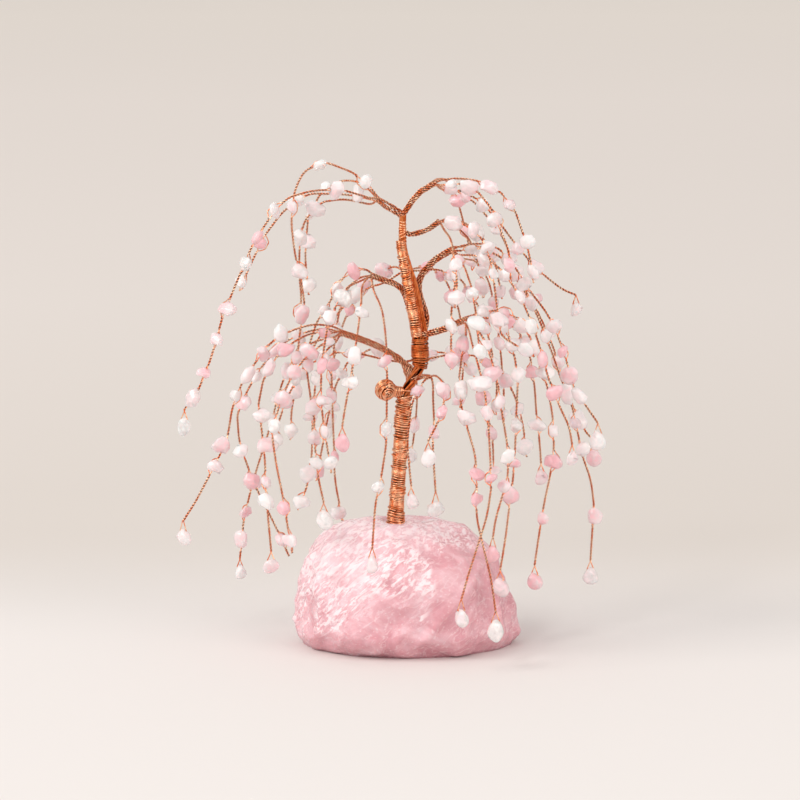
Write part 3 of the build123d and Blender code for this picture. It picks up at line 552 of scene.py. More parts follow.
def twisted_pair(strand):
    """The two wires of a strand, as runs of places."""
    phase = chance.uniform(0, math.tau)
    through, over, through_axis, over_axis = [], [], [], []
    for index, (place, frame_here) in enumerate(zip(strand["path"], strand["frames"])):
        angle = phase + index * wire_step / twist_pitch * math.tau
        bare = 0.0
        swell = Vector((0, 0, 0))
        for chip in strand["chips"]:
            ahead = (index - chip["at"]) * wire_step
            reach = chip["front"] if ahead > 0 else chip["back"]
            opened = ease_step((reach + fork_length - abs(ahead)) / (fork_length + 0.55 * reach))
            if opened > 0:
                bare = max(bare, opened)
                frame_chip = strand["frames"][chip["at"]]
                swell = around(frame_chip, chip["angle"]) * opened * (chip["thick"] + wire_radius)
        circle = around(frame_here, angle) * wire_radius * twist_slack * (1 - bare)
        through.append(place + circle)
        over.append(place - circle + swell)
        apart = min(1.0, 5 * bare)
        through_axis.append(place.lerp(through[-1], apart))
        over_axis.append(place.lerp(over[-1], apart))
    if strand["drop"]:
        drop = strand["drop"]
        for run, run_axis, way in ((through, through_axis, 1), (over, over_axis, -1)):
            corner = drop["across"] * drop["half"] * way
            legs = [run[-1], drop["place"] + corner, drop["place"]]
            leg = eased(evenly(legs, leg_step), 10)[1:]
            run += leg
            run_axis += leg
    return [through, over], [through_axis, over_axis]


for bough in boughs:
    runs, axes = [], []
    for strand in strands:
        if strand["bough"] == bough:
            pair, pair_axes = twisted_pair(strand)
            runs += pair
            axes += pair_axes
    mesh = wire_mesh(bough + "_wires", runs, wire_radius, axes)
    piece = put(bough + "_wires", mesh, strand_copper)
    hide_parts(bough + "_stem", bough + "_strands")
    print(bough, "wires", len(runs), "triangles", sum(len(p.vertices) - 2 for p in mesh.polygons))

# %% [markdown]
# ## Rose quartz chips
# Tumbled chips are bits of broken crystal that rolled in a drum with grit until their corners went
# round. They are glossy, softly translucent, and cloudy inside. Their pink is so weak that thin
# chips look almost white and thick ones show it. Rose quartz has an index of refraction of 1.54. A
# value stored on each point picks the tint, and a small noise inside draws the clouds.

# %% Chip materials
def tumbled_quartz(name, pale, middle, deep, clear):
    """Polished, cloudy quartz whose tint changes from chip to chip."""
    material, shader = new_material(name)
    place = node(material, "TexCoord").outputs["Object"]
    tint = node(material, "Attribute", {"attribute_name": "tint"}).outputs["Fac"]
    cloud = node(material, "TexNoise", inputs={
        "Vector": place, "Scale": per_mm(2.2), "Detail": 4.0, "Roughness": 0.6, "Distortion": 0.6})
    mixed = node(material, "Math", {"operation": "MULTIPLY_ADD"}, {
        0: cloud.outputs["Fac"], 1: 0.7, 2: tint})
    colour = ramp(material, mixed.outputs[0], [(0.25, pale), (0.7, middle), (1.15, deep)])
    links = material.node_tree.links
    links.new(colour, shader.inputs["Base Color"])
    scuff = node(material, "TexNoise", inputs={"Vector": place, "Scale": per_mm(0.9), "Detail": 2.0})
    rough = node(material, "MapRange", inputs={
        "Value": scuff.outputs["Fac"], "To Min": 0.05, "To Max": 0.20})
    links.new(rough.outputs["Result"], shader.inputs["Roughness"])
    veil = node(material, "MapRange", inputs={
        "Value": cloud.outputs["Fac"], "From Min": 0.35, "From Max": 0.7,
        "To Min": clear, "To Max": 0.1})
    links.new(veil.outputs["Result"], shader.inputs["Transmission Weight"])
    shader.inputs["IOR"].default_value = 1.54
    shader.inputs["Subsurface Weight"].default_value = 0.55
    shader.inputs["Subsurface Radius"].default_value = (1.0, 0.75, 0.72)
    shader.inputs["Subsurface Scale"].default_value = 3.0 * MM
    bump = node(material, "Bump", inputs={
        "Height": scuff.outputs["Fac"], "Strength": 0.12, "Distance": 0.15 * MM})
    links.new(bump.outputs["Normal"], shader.inputs["Normal"])
    return material


rose_chips = tumbled_quartz("tumbled_rose_quartz", "#FFFBFA", "#FFE9EB", "#FDC6CD", 0.26)
milky_chips = tumbled_quartz("tumbled_milky_quartz", "#FFFCFB", "#FFF3F3", "#FBDFE3", 0.42)
print("chip materials made")

# %% [markdown]
# ## Tumbled shapes
# A broken chip has flat faces that meet at corners. The drum wears the corners off first and
# leaves the flats. So each pebble starts as the hull of the model's chip, with its nearly flat
# edges dissolved. Smooth noise then lumps it, one side is thinned, a bevel takes the corners off,
# and a subdivision surface rounds what is left. Points far from the middle get a paler tint: partly
# because a thin rim shows less pink, and partly as painted light, the bright glow of thin edges.
# The pebble at the very top is seen whole against the wall, so it keeps its full thickness and
# grows more. Each pebble is made alone and its points are sorted, because the order in which the
# bevel makes them can change, and the same script should give the same tree.

# %% Chip shapes
crown_height = 155 * MM
merge_distance = 0.5 * MM
flat_angle = math.radians(9)
corner_bevel = 0.62 * MM
usual_growth, crown_growth = 1.13, 1.36
thinned_most = 0.38
lump_share = 0.55
heavy_share = 0.28


def pebble_mesh(chip, tint, seed, bevel):
    """A mesh of one tumbled pebble, wrapped round the corners of a model chip."""
    work = bmesh.new()
    tint_layer = work.verts.layers.float.new("tint")
    points = [work.verts.new(corner) for corner in chip["corners"]]
    hull_of(work, points)
    body = [vert for vert in points if vert.is_valid]
    bmesh.ops.remove_doubles(work, verts=body, dist=merge_distance)
    body = [vert for vert in body if vert.is_valid]
    edges = in_order(edge for vert in body for edge in vert.link_edges)
    bmesh.ops.dissolve_limit(work, angle_limit=flat_angle, verts=body, edges=edges)
    body = [vert for vert in body if vert.is_valid]
    centre = middle(body)
    shift = Vector((seed * 3.1, seed * 1.7, seed * 2.3))
    chance_way = Vector((math.sin(seed), math.cos(seed), math.sin(2 * seed)))
    thin_way = chip["heavy"].lerp(chance_way, 0.5).normalized()
    crown = chip["centre"].z > crown_height
    thinned = 0.0 if crown else thinned_most * (seed % 1.0)
    grown = crown_growth if crown else usual_growth
    for vert in body:
        out = vert.co - centre
        lump = noise.noise(vert.co * per_mm(2.8) + shift)
        beside = vert.co - chip["centre"]
        heavy = max(0.0, beside.normalized().dot(chip["heavy"]))
        vert.co = centre + out * (grown + lump_share * lump) + beside * heavy_share * heavy
        vert.co -= thin_way * (vert.co - chip["centre"]).dot(thin_way) * thinned
    edges = in_order(edge for vert in body for edge in vert.link_edges)
    if bevel:
        rounded = bmesh.ops.bevel(work, geom=edges, affect="EDGES", offset=bevel, offset_type="OFFSET",
                                  segments=1, profile=0.5, material=-1, clamp_overlap=True)
        body = rounded["verts"]
    # Paler towards the rim: partly a thin rim's weaker pink, and partly a painted glow of the thin
    # edges.
    reach = max((vert.co - centre).length for vert in body)
    for vert in body:
        vert[tint_layer] = tint + 0.26 - 0.45 * (vert.co - centre).length / reach
    ordered = sorted(work.verts, key=lambda vert: vert.co[:])
    rank = {vert: number for number, vert in enumerate(ordered)}
    work.verts.sort(key=rank.get)
    return finished(work, "pebble")


def pebble_piece(name, members, material, slot, body="tree", bevel=corner_bevel):
    """One piece of the pebbles of a list of chips."""
    work = bmesh.new()
    for chip in members:
        pebble = pebble_mesh(chip, chance.betavariate(1.4, 2.6), chance.uniform(0, 50), bevel)
        work.from_mesh(pebble)
        bpy.data.meshes.remove(pebble)
    bmesh.ops.recalc_face_normals(work, faces=work.faces)
    piece = put(name, finished(work, name), material, body)
    rounding = piece.modifiers.new("tumbled", "SUBSURF")
    rounding.levels = rounding.render_levels = 1 if bevel else 2
    return piece


for cad_node in [bough + "_chips" for bough in boughs] + ["milky_chips"]:
    members = [chip for chip in chips if chip["node"] == cad_node]
    finish = (milky_chips, "milky_quartz") if cad_node == "milky_chips" else (rose_chips, "rose_quartz")
    piece = pebble_piece(cad_node.replace("chips", "pebbles"), members, *finish)
    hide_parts(cad_node)
    print(cad_node, len(members), "pebbles,", len(piece.data.polygons), "faces before rounding")

# %% [markdown]
# ## Swinging drops
# Some strands end in a small open loop of wire with a chip on it. The chip hangs from its drill hole
# and sways when the tree is touched, so each drop is a piece of its own that rides on its own body.
# In the photograph the drops differ more in size than the threaded chips do, so each has its own
# share of the model's size, measured from the drill hole. Each is fuller near the top, where the
# hole is, some are milky, and all of them are rounded twice, because they hang in plain sight.

# %% Swinging drops
milky_drops = ["swing_chip_" + number for number in ("01", "04", "10", "12", "13", "15", "17", "21")]
for drop in drops:
    whole = merged(drop["body"])
    corners = [vert.co.copy() for vert in whole.verts]
    whole.free()
    top = max(corner.z for corner in corners)
    tall = top - min(corner.z for corner in corners)
    for corner in corners:
        beside = corner - drop["place"]
        along = drop["across"] * beside.dot(drop["across"])
        front = Vector((beside.x, beside.y, 0)) - along
        high = ease_step(1.4 - (top - corner.z) / tall * 1.4)
        beside += along * (0.14 + 0.30 * high) + front * (0.20 + 0.60 * high)
        corner[:] = drop["place"] + beside * drop["share"]
    drop_chip = {"corners": corners, "centre": drop["place"], "heavy": Vector((0, 0, -1))}
    finish = milky_chips if drop["body"] in milky_drops else rose_chips
    piece = pebble_piece(drop["body"] + "_pebble", [drop_chip], finish, "rose_quartz", drop["body"], 0.0)
    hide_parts(drop["body"])
print("drops", len(drops))

# %% [markdown]
# ## Trunk
# The trunk is the bundle of all the strands' wires, bound with a fine wire wound round and round. A
# winding is a helix whose axis is the trunk's bent middle line. A hand never winds evenly, so each
# turn leans and swells a little by a smooth noise, and the turns crowd into bunches with gaps that
# show the bundle. A second, open layer of turns crosses the first one, as the wire does where it
# goes back up the trunk.

# %% Trunk path and winding helper
trunk_step = 0.3 * MM
trunk_path = eased(evenly(trunk_knees, trunk_step), 60)
trunk_frames = frames_along(trunk_path)
wound_radius = 0.27 * MM
bunch_length = 5.3 * MM
bunch_reach = 0.30 * MM
turn_steps = 18
fine_pitch = 0.56


def height_index(height):
    """The step of the trunk's path at a height."""
    return min(range(len(trunk_path)), key=lambda index: abs(trunk_path[index].z - height))


def wound(low, high, radius_at, pitch, lean, jitter, path=trunk_path):
    """Places of a wire wound round a path between two heights, with leaning, uneven turns."""
    start, end = height_index(low), height_index(high)
    length = (end - start) * trunk_step
    count = int(length / pitch * turn_steps)
    run, axis = [], []
    seed = chance.uniform(0, 100)
    for number in range(count + 1):
        share = number / count
        turn = number / turn_steps * math.tau
        sway = noise.noise(Vector((seed, share * length * per_mm(5.0), 0)))
        fade = min(1.0, 8 * share * (1 - share))
        bunch = math.sin(share * length / bunch_length * math.tau + seed) * bunch_reach * fade
        along = share * (end - start) + (math.sin(turn + 4 * sway) * lean + bunch) / trunk_step
        index = min(max(int(along) + start, 0), len(path) - 2)
        blend = along + start - index
        centre = path[index].lerp(path[index + 1], blend)
        swell = noise.noise(Vector((seed + turn * 0.31, share * length * per_mm(0.9), 3.0)))
        radius = radius_at(share) + jitter * swell
        run.append(centre + around(trunk_frames[index], turn) * radius)
        axis.append(centre)
    return run, axis


def wound_piece(name, pairs, material):
    """One piece of several windings, each a pair of its run and its axis places."""
    runs = [run for run, axis in pairs]
    axes = [axis for run, axis in pairs]
    return put(name, wire_mesh(name, runs, wound_radius, axes), material)


def between(start, end):
    """A radius that changes evenly from one value to another."""
    return lambda share: start + (end - start) * share


def windings(rows, path=trunk_path):
    """Windings from rows in mm: from, to, radius at both ends, pitch, lean and jitter."""
    made = []
    for row in rows:
        low, high, first, last, pitch, lean, jitter = [value * MM for value in row]
        made.append(wound(low, high, between(first, last), pitch, lean, jitter, path))
    return made


# %% [markdown]
# ## Bundle, windings and knob
# From the stone up to the knob the winding is dense. Above the knob the bundle bends aside and shows
# its bare wires, then comes the short, dark, thick collar. The upper trunk has two members side by
# side: a bright wound one, and a darker bundle at its right. The knob is the bent-over end of the
# bundle, wound into a ball. The bundle, the collar, the darker member and the knob's heart are drawn
# in a shaded copy of the copper, which is painted shade.

# %% Trunk pieces
collar_top, fork_height = 104 * MM, 140 * MM
bundle_lay, member_lay = 34 * MM, 11 * MM
core_runs = []
for number in range(9):
    angle = math.tau * number / 9
    ring = (1.30 if number else 0.0) * MM
    run = []
    for index, (spot, frame_here) in enumerate(zip(trunk_path, trunk_frames)):
        lay = index * trunk_step / bundle_lay * math.tau
        risen = max(0.0, (spot.z - collar_top) / (fork_height - collar_top))
        narrow = 1.0 - 0.45 * min(1.0, risen)
        run.append(spot + around(frame_here, angle + lay) * ring * narrow)
    core_runs.append(run)
bundle_mesh = wire_mesh("trunk_bundle", core_runs, 0.46 * MM, [trunk_path] * len(core_runs))
bundle = put("trunk_bundle", bundle_mesh, painted_shade_copper)
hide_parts("trunk_core")

lower = wound_piece("lower_winding", [
    wound(39.4 * MM, 83.4 * MM, lambda share: (2.28 + 0.5 * math.exp(-share / 0.10) - 0.16 * share) * MM,
          fine_pitch * MM, 0.42 * MM, 0.10 * MM),
    *windings([(40.4, 45.5, 2.95, 2.72, 0.9, 0.6, 0.2), (50.0, 52.4, 2.62, 2.62, 0.8, 0.35, 0.14),
               (57.5, 71.0, 2.60, 2.52, 3.4, 1.1, 0.14), (72.5, 77.0, 2.58, 2.58, 0.74, 0.5, 0.18),
               (76.0, 86.5, 2.50, 2.45, 2.2, 1.0, 0.2)])], winding_copper)
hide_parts("lower_wrap")

collar = wound_piece("collar_winding", [
    wound(93.0 * MM, 102.8 * MM, lambda share: (2.25 + 0.5 * math.sin(math.pi * share)) * MM,
          0.60 * MM, 0.14 * MM, 0.12 * MM),
    *windings([(95.0, 101.0, 2.92, 2.72, 1.2, 0.35, 0.16)])], painted_shade_copper)
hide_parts("collar_wrap")

aside_path = [spot + Vector((-0.65, -0.35, 0)) * MM for spot in trunk_path]
upper = wound_piece("upper_winding", [
    *windings([(103.4, 134.6, 1.86, 1.34, fine_pitch, 0.34, 0.08),
               (111.0, 132.0, 2.02, 1.6, 2.9, 0.9, 0.14)], aside_path),
    *windings([(134.2, 142.2, 1.22, 0.95, 0.85, 0.4, 0.14)])], winding_copper)
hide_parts("upper_wrap")

member_runs = []
start, end = height_index(102.0 * MM), height_index(134.5 * MM)
member_axis = []
for index in range(start, end):
    share = (index - start) / (end - start)
    beside = 1.95 - 1.5 * ease_step((share - 0.45) * 2)
    member_axis.append(trunk_path[index] + Vector((beside, 0.1, 0)) * MM)
for number in range(6):
    run = []
    for index, spot in zip(range(start, end), member_axis):
        angle = math.tau * number / 6 + index * trunk_step / member_lay * math.tau
        narrow = 0.66 - 0.22 * ease_step((index - start) / (end - start))
        run.append(spot + around(trunk_frames[index], angle) * narrow * MM)
    member_runs.append(run)
member_mesh = wire_mesh("side_member", member_runs, 0.40 * MM, [member_axis] * len(member_runs))
put("side_member", member_mesh, painted_shade_copper)

knob_centre = Vector((-6.7, -2.1, 85.7)) * MM
knob_frame = frame_on(Vector((0.30, -0.86, -0.40)).normalized())
knob_axis, knob_side, knob_up = knob_frame
ball_run = []
ball_turns, ball_steps, loop_steps = 15, 22, 40
for number in range(ball_turns * ball_steps + 1):
    share = number / (ball_turns * ball_steps)
    turn = number / ball_steps * math.tau
    tilt = math.pi * (0.04 + 0.92 * share)
    wander = 0.10 * noise.noise(Vector((turn * 0.25, share * 6, 9.0)))
    radius = 3.2 * MM * (1 + 0.05 * noise.noise(Vector((turn * 0.4, 4.0, share * 9))))
    cross = around(knob_frame, turn)
    tilt += wander
    ball_run.append(knob_centre + radius * (knob_axis * math.cos(tilt) + cross * math.sin(tilt)))
over_runs = []
for number in range(5):
    lean = chance.uniform(-0.5, 0.5)
    loop_axis = (knob_axis + knob_side * lean + knob_up * chance.uniform(-0.5, 0.5)).normalized()
    loop_frame = frame_on(loop_axis)
    shift = chance.uniform(-1.6, 1.6) * MM
    reach = math.sqrt((3.38 * MM) ** 2 - shift ** 2)
    over_runs.append([
        knob_centre + loop_axis * shift + reach * around(loop_frame, step * math.tau / loop_steps)
        for step in range(loop_steps + 1)])
trunk_seat = Vector((-0.3, 0, 84.3)) * MM
neck_axis = (knob_centre - trunk_seat).normalized()
neck_frame = frame_on(neck_axis)
neck_run = []
for number in range(6 * turn_steps):
    turn = number / turn_steps * math.tau
    along = (1.2 + 0.62 * number / turn_steps) * MM
    neck_run.append(trunk_seat + neck_axis * along + 1.75 * MM * around(neck_frame, turn))
neck_axis_places = [trunk_seat + neck_axis * (place - trunk_seat).dot(neck_axis) for place in neck_run]
knob_windings = [(ball_run, [knob_centre] * len(ball_run)), (neck_run, neck_axis_places)]
knob_windings += [(run, [knob_centre] * len(run)) for run in over_runs]
knob = wound_piece("knob_winding", knob_windings, winding_copper)
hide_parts("knob_wrap")
heart = bmesh.new()
bmesh.ops.create_icosphere(
    heart, subdivisions=3, radius=3.05 * MM, matrix=Matrix.Translation(knob_centre))
knob_heart = put("knob_heart", finished(heart, "knob_heart"), painted_shade_copper)
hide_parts("knob_core")
print("bundle wires", len(core_runs), "faces in the lower winding", len(lower.data.polygons))

# %% [markdown]
# ## Rough rose quartz
# Rose quartz is pink all through, from tiny fibres of another mineral, and white where it is cracked
# inside. Its broken skin is glassy in the hollows and frosty on the sugary breaks, where thousands of
# small faces send the light back. Its white here is partly that frosted skin and partly painted sheen
# and glints. The frost lies in slanting, feathery streaks, so its noise is stretched along one slanting
# line, and it gathers towards the top left, where the light comes from, as painted light. The pink is
# paler towards the top, which is painted light, and paler to the left, which is partly painted light
# and partly the stone's own pink, deeper at the right. Thin white veins follow the places where a
# broad noise crosses its middle value.

# %% Rough quartz material
quartz, rough_shader = new_material("broken_rose_quartz")
quartz_links = quartz.node_tree.links
stone_place = node(quartz, "TexCoord").outputs["Object"]
turned = node(quartz, "Mapping", {"vector_type": "TEXTURE"}, {
    "Vector": stone_place, "Rotation": (0, math.radians(-40), 0), "Scale": (3.2, 1.5, 1.0)})
streaks = node(quartz, "TexNoise", inputs={
    "Vector": turned.outputs["Vector"], "Scale": per_mm(1.4), "Detail": 6.0, "Roughness": 0.66,
    "Distortion": 0.6})
patches = node(quartz, "TexNoise", inputs={
    "Vector": stone_place, "Scale": per_mm(17), "Detail": 3.0, "Distortion": 0.5})
stone_axes = node(quartz, "SeparateXYZ", inputs={"Vector": stone_place})
# Partly painted light: paler pink and more frost to the left, where the light comes from, and partly the
# stone's own deeper pink at the right.
left_light_and_tone = node(quartz, "MapRange", inputs={
    "Value": stone_axes.outputs["X"], "From Min": 20 * MM, "From Max": -20 * MM,
    "To Min": -0.03, "To Max": 0.14})
# Painted light: paler pink and more frost towards the top, where the light falls.
painted_top_light = node(quartz, "MapRange", inputs={
    "Value": stone_axes.outputs["Z"], "From Min": 4 * MM, "From Max": 40 * MM,
    "To Min": -0.14, "To Max": 0.12})
lean = node(quartz, "Math", {"operation": "ADD"}, {0: left_light_and_tone.outputs[0], 1: painted_top_light.outputs[0]})
# Where the white frost lies: random patches, gathered towards the lit top left as painted light.
frost_and_sheen_place = node(quartz, "Math", {"operation": "ADD"}, {
    0: patches.outputs["Fac"], 1: lean.outputs[0]})
frost_and_sheen_mask = node(quartz, "MapRange", smoothly, {
    "Value": frost_and_sheen_place.outputs[0], "From Min": 0.50, "From Max": 0.66})
streak_mask = node(quartz, "MapRange", smoothly, {
    "Value": streaks.outputs["Fac"], "From Min": 0.46, "From Max": 0.58})
frost = node(quartz, "Math", {"operation": "MULTIPLY"}, {
    0: frost_and_sheen_mask.outputs[0], 1: streak_mask.outputs[0]})

inside = node(quartz, "TexNoise", inputs={
    "Vector": stone_place, "Scale": per_mm(11), "Detail": 6.0, "Roughness": 0.6, "Distortion": 1.2})
# The pink comes from a random inner noise, shifted paler to the left and top by the painted light above.
pink_lean = node(quartz, "Math", {"operation": "MULTIPLY_ADD"}, {
    0: lean.outputs[0], 1: 0.9, 2: inside.outputs["Fac"]})
pink = ramp(quartz, pink_lean.outputs[0], [
    (0.24, "#CF8E98"), (0.42, "#DBA0A9"), (0.56, "#E4B3BB"), (0.74, "#EFCFD6")])
vein_noise = node(quartz, "TexNoise", inputs={
    "Vector": turned.outputs["Vector"], "Scale": per_mm(7), "Detail": 4.0, "Distortion": 1.5})
vein_gap = node(quartz, "Math", {"operation": "SUBTRACT"}, {0: vein_noise.outputs["Fac"], 1: 0.5})
vein_near = node(quartz, "Math", {"operation": "ABSOLUTE"}, {0: vein_gap.outputs[0]})
veins = node(quartz, "MapRange", smoothly, {
    "Value": vein_near.outputs[0], "From Min": 0.016, "From Max": 0.0, "To Max": 0.35})
speck_noise = node(quartz, "TexNoise", inputs={
    "Vector": stone_place, "Scale": per_mm(0.9), "Detail": 2.0})
specks = node(quartz, "MapRange", smoothly, {
    "Value": speck_noise.outputs["Fac"], "From Min": 0.60, "From Max": 0.72, "To Max": 0.40})
white_some = node(quartz, "Math", {"operation": "MAXIMUM"}, {
    0: veins.outputs[0], 1: specks.outputs[0]})
# The white of the frost is partly frosted skin and partly painted sheen and glints.
frost_and_sheen_part = node(quartz, "Math", {"operation": "MULTIPLY"}, {0: frost.outputs[0], 1: 0.9})
white = node(quartz, "Math", {"operation": "MAXIMUM"}, {
    0: white_some.outputs[0], 1: frost_and_sheen_part.outputs[0]})
skin_colour = node(quartz, "Mix", {"data_type": "RGBA"}, {
    "Factor": white.outputs[0], 6: pink, 7: linear("#FBEBEE")})
quartz_links.new(skin_colour.outputs[2], rough_shader.inputs["Base Color"])
gloss = node(quartz, "MapRange", inputs={
    "Value": frost.outputs[0], "To Min": 0.26, "To Max": 0.45})
quartz_links.new(gloss.outputs[0], rough_shader.inputs["Roughness"])
rough_shader.inputs["IOR"].default_value = 1.54
rough_shader.inputs["Subsurface Weight"].default_value = 0.3
rough_shader.inputs["Subsurface Radius"].default_value = (1.0, 0.5, 0.45)
rough_shader.inputs["Subsurface Scale"].default_value = 4 * MM
comb_bump = node(quartz, "Bump", inputs={
    "Height": streaks.outputs["Fac"], "Strength": 0.38, "Distance": 0.8 * MM})
grain_bump = node(quartz, "Bump", inputs={
    "Height": speck_noise.outputs["Fac"], "Strength": 0.35, "Distance": 0.35 * MM,
    "Normal": comb_bump.outputs["Normal"]})
quartz_links.new(grain_bump.outputs["Normal"], rough_shader.inputs["Normal"])
print("rough quartz material made")

# %% [markdown]
# ## Glue
# Clear craft glue holds the foot of the trunk in its drilled socket. Set epoxy is glossy and almost
# colourless, with a faint yellow tone and a few small bubbles.

# %% Glue material
clear_glue, glue_shader = new_material("set_clear_epoxy")
glue_place = node(clear_glue, "TexCoord").outputs["Object"]
bubbles = node(clear_glue, "TexNoise", inputs={
    "Vector": glue_place, "Scale": per_mm(0.8), "Detail": 2.0})
glue_tone = ramp(clear_glue, bubbles.outputs["Fac"], [(0.4, "#F6EBDD"), (0.62, "#FFFFFF")])
clear_glue.node_tree.links.new(glue_tone, glue_shader.inputs["Base Color"])
glue_rough = node(clear_glue, "MapRange", inputs={
    "Value": bubbles.outputs["Fac"], "To Min": 0.05, "To Max": 0.2})
clear_glue.node_tree.links.new(glue_rough.outputs[0], glue_shader.inputs["Roughness"])
glue_shader.inputs["IOR"].default_value = 1.5
glue_shader.inputs["Transmission Weight"].default_value = 0.8
frame["nodes"]["glue_plug"].data.materials.clear()
frame["nodes"]["glue_plug"].data.materials.append(clear_glue)
print("glue material set")

# %% [markdown]
# ## Rose quartz boulder
# Rough rose quartz breaks with no flat faces: it has shell-like hollows, ridges and a sugary skin. The
# model gives its overall form. A voxel remesh covers that form with small even faces, and then each
# point moves out or in by a few noises, from broad lumps down to fine grain. One long ridge runs up
# the front from the foot of the stone, where two breaks met. Low down the stone bulges a little at
# its right heel, and its front is tucked in, so that a thin shadow lies under it.

# %% Boulder shape
whole = merged("base_stone")
hull_of(whole, whole.verts)
bmesh.ops.recalc_face_normals(whole, faces=whole.faces)
guide = add_object("boulder_form", finished(whole, "boulder"))
grain = guide.modifiers.new("grain", "REMESH")
grain.mode = "VOXEL"
grain.voxel_size = 0.62 * MM
depsgraph = bpy.context.evaluated_depsgraph_get()
fine_mesh = bpy.data.meshes.new_from_object(guide.evaluated_get(depsgraph))
bpy.data.objects.remove(guide)

ridge_foot = Vector((0.5, 0, 0.5)) * MM
ridge_top = Vector((29, 0, 34)) * MM
ridge_way = (ridge_top - ridge_foot).normalized()
ridge_cross = Vector((ridge_way.z, 0, -ridge_way.x))
streak_way = Vector((0.76, 0, 0.65)).normalized()
streak_cross = Vector((0.65, 0, -0.76)).normalized()
foot = trunk_path[height_index(40.5 * MM)]
heel_bulge = 1.4 * MM
front_tuck = 4.0 * MM


def rough_move(place):
    """How far a point of the boulder's skin stands out from its smooth form."""
    broad = noise.noise(place * per_mm(17)) * 1.7 + 0.45
    hollow = -abs(noise.noise(place * per_mm(9.5) + Vector((7, 3, 1)))) * 2.2 + 0.5
    lumps = noise.noise(place * per_mm(3.6) + Vector((2, 9, 4))) * 0.42
    streaky = Vector((place.dot(streak_way) * 0.3, place.y * 0.6, place.dot(streak_cross)))
    frost = max(0.0, noise.noise(place * per_mm(14) + Vector((5, 5, 5))) + 0.25)
    comb = noise.noise(streaky * per_mm(1.5)) * 0.5 * frost
    grains = noise.noise(place * per_mm(1.3)) * 0.12
    ridge = 0.0
    if place.y < 0:
        beside = (place - ridge_foot).dot(ridge_cross) + noise.noise(place * per_mm(9)) * 1.6 * MM
        along = (place - ridge_foot).dot(ridge_way)
        ends = ease_step(along / (6 * MM)) * ease_step((44 * MM - along) / (12 * MM))
        ridge = ends * (1.0 * math.exp(-(beside / (1.5 * MM)) ** 2) - 0.7 * ease_step(beside / (9 * MM))
                        * ease_step((16 * MM - beside) / (7 * MM)))
    return (broad + hollow + lumps + comb + grains + ridge) * MM


skin = bmesh.new()
skin.from_mesh(fine_mesh)
every_axis = {"use_axis_x": True, "use_axis_y": True, "use_axis_z": True}
for _ in range(40):
    bmesh.ops.smooth_vert(skin, verts=skin.verts, factor=0.5, **every_axis)
for vert in skin.verts:
    vert.co.z = 0.0 if vert.co.z < 0.9 * MM else vert.co.z
skin.normal_update()
moves = []
for vert in skin.verts:
    low = ease_step(vert.co.z / (5 * MM))
    rim = noise.noise(vert.co * per_mm(6.5)) * 1.3 * MM * (1 - low)
    flat = ease_step((vert.co.z - 0.2 * MM) / (1.2 * MM))
    near_foot = ease_step(((vert.co - foot).length - 3.0 * MM) / (2.5 * MM))
    move = vert.normal * (rough_move(vert.co) * (0.35 + 0.65 * low) * near_foot + rim) * flat
    heel = ease_step((vert.co.x - 20 * MM) / (12 * MM)) * (1 - ease_step(vert.co.z / (11 * MM)))
    tuck = ease_step(-vert.co.y / (14 * MM)) * (1 - ease_step(vert.co.z / (8 * MM)))
    moves.append(move + Vector((heel_bulge * heel, front_tuck * tuck, 0)))
for vert, move in zip(skin.verts, moves):
    vert.co += move
    vert.co.z = max(vert.co.z, 0.0)
    vert.co.x = min(max(vert.co.x, cad_low.x), cad_high.x)
bmesh.ops.smooth_vert(skin, verts=skin.verts, factor=0.25, **every_axis)
for vert in skin.verts:
    if vert.co.z < 0.35 * MM:
        vert.co.z = 0.0
bmesh.ops.recalc_face_normals(skin, faces=skin.faces)
skin.to_mesh(fine_mesh)
skin.free()
boulder = put("boulder", fine_mesh, quartz)
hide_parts("base_stone")
print("boulder faces", len(fine_mesh.polygons), "size in mm",
      [round(v / MM, 1) for v in boulder.dimensions])

# %% [markdown]
# ## Table, backdrop and light
# The picture was taken on a pale sheet in soft light from the front left. The sheet here is flat and
# very large, so a camera can go all round the tree with nothing in its way. Light and shade are painted
# into its colour: painted shade just behind the tree, and painted light in front and far away. Where the
# sheet ends, camera, mirror and glass rays see one plain wall colour, and all other rays get the soft
# light of the sky.
# A broad lamp like a window casts the soft shadow, a small one at the front draws the sparks of light
# on quartz and copper, and a weak broad one at the right fills the shade.

# %% Sheet and lights
paper, paper_shader = new_material("matt_backdrop_paper")
paper_place = node(paper, "TexCoord").outputs["Object"]
paper_axes = node(paper, "SeparateXYZ", inputs={"Vector": paper_place})
# Painted shade and light: the sheet is darker just behind the tree and lighter far away.
far_share = node(paper, "MapRange", inputs={"Value": paper_axes.outputs["Y"], "From Max": 4000 * MM})
paper_light_and_shade = ramp(paper, far_share.outputs[0], [
    (0.07, "#D3CBC5"), (0.22, "#DED6D1"), (0.60, "#ECE3DD"), (1.0, "#F3EAE2")])
# Painted light: the sheet is lighter in front of the tree.
front_share = node(paper, "MapRange", smoothly, {
    "Value": paper_axes.outputs["Y"], "From Min": 200 * MM, "From Max": 0.0})
paper_lit = node(paper, "Mix", {"data_type": "RGBA", "blend_type": "SCREEN"}, {
    "Factor": front_share.outputs[0], 6: paper_light_and_shade, 7: linear("#8F8F95")})
paper.node_tree.links.new(paper_lit.outputs[2], paper_shader.inputs["Base Color"])
paper_shader.inputs["Roughness"].default_value = 0.9

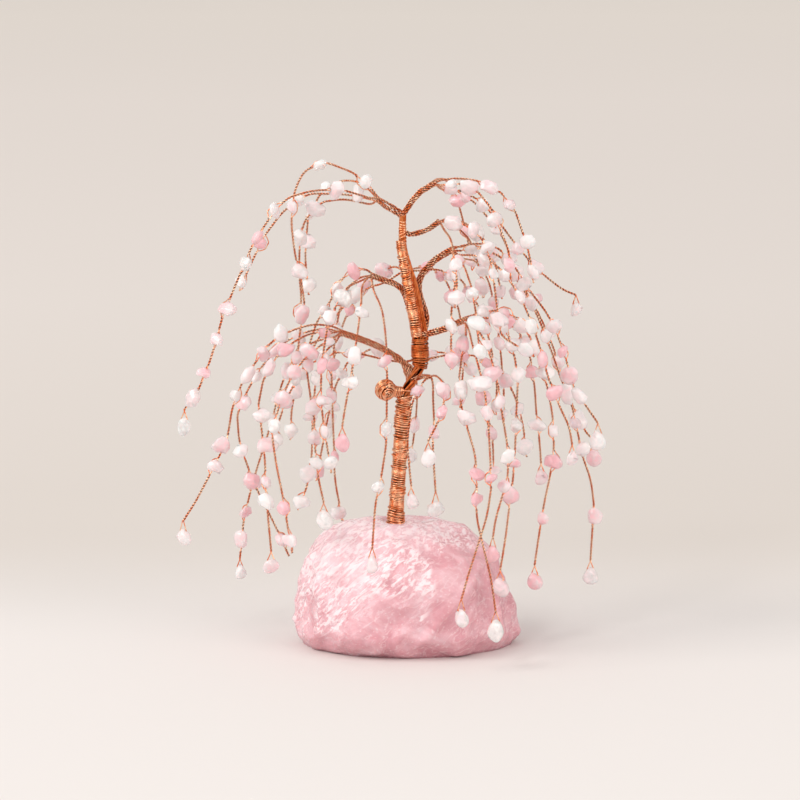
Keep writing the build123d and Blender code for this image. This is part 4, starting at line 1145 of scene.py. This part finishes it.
sheet = bmesh.new()
bmesh.ops.create_grid(sheet, x_segments=1, y_segments=1, size=9000 * MM)
sheet_mesh = finished(sheet, "backdrop_sheet")
sheet_mesh.materials.append(paper)
add_object("backdrop_sheet", sheet_mesh)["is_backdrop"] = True

world = bpy.data.worlds.new("studio")
world.use_nodes = True
sky = world.node_tree.nodes["Background"]
sky.inputs["Color"].default_value = linear("#FFFEFC")
sky.inputs["Strength"].default_value = 0.76
far_wall = node(world, "Background", inputs={"Color": linear("#E4DCD5")})
rays = node(world, "LightPath")
mirrored = node(world, "Math", {"operation": "MAXIMUM"}, {
    0: rays.outputs["Is Glossy Ray"], 1: rays.outputs["Is Transmission Ray"]})
seen = node(world, "Math", {"operation": "MAXIMUM"}, {
    0: rays.outputs["Is Camera Ray"], 1: mirrored.outputs[0]})
chosen = node(world, "MixShader", inputs={
    "Fac": seen.outputs[0], 1: sky.outputs["Background"], 2: far_wall.outputs["Background"]})
world_output = world.node_tree.nodes["World Output"]
world.node_tree.links.new(chosen.outputs["Shader"], world_output.inputs["Surface"])
bpy.context.scene.world = world


def softbox(name, place, size, power, colour):
    """A square lamp that faces the middle of the tree."""
    lamp = bpy.data.lights.new(name, "AREA")
    lamp.size = size
    lamp.energy = power
    lamp.color = linear(colour)[:3]
    holder = add_object(name, lamp)
    holder.location = place
    holder.rotation_euler = (look_at - Vector(place)).to_track_quat("-Z", "Y").to_euler()


softbox("window", (-2250 * MM, -950 * MM, 2250 * MM), 1600 * MM, 46, "#FFFCF7")
softbox("spark", (-1150 * MM, -2000 * MM, 1650 * MM), 520 * MM, 10.5, "#FFFFFF")
softbox("fill", (2400 * MM, -2000 * MM, 1550 * MM), 2200 * MM, 32, "#FFF8F2")
bpy.context.scene.view_settings.view_transform = "Standard"
print("stage set")

# %% [markdown]
# ## Size of the dressed tree
# The box of the dressed tree is printed in millimetres, beside the box of the measured model printed at
# the start. The dressed tree must be no larger than the measured one.

# %% Sizes and finish
low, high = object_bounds()
print("dressed box in mm", [round(v / MM, 1) for v in low], [round(v / MM, 1) for v in high])
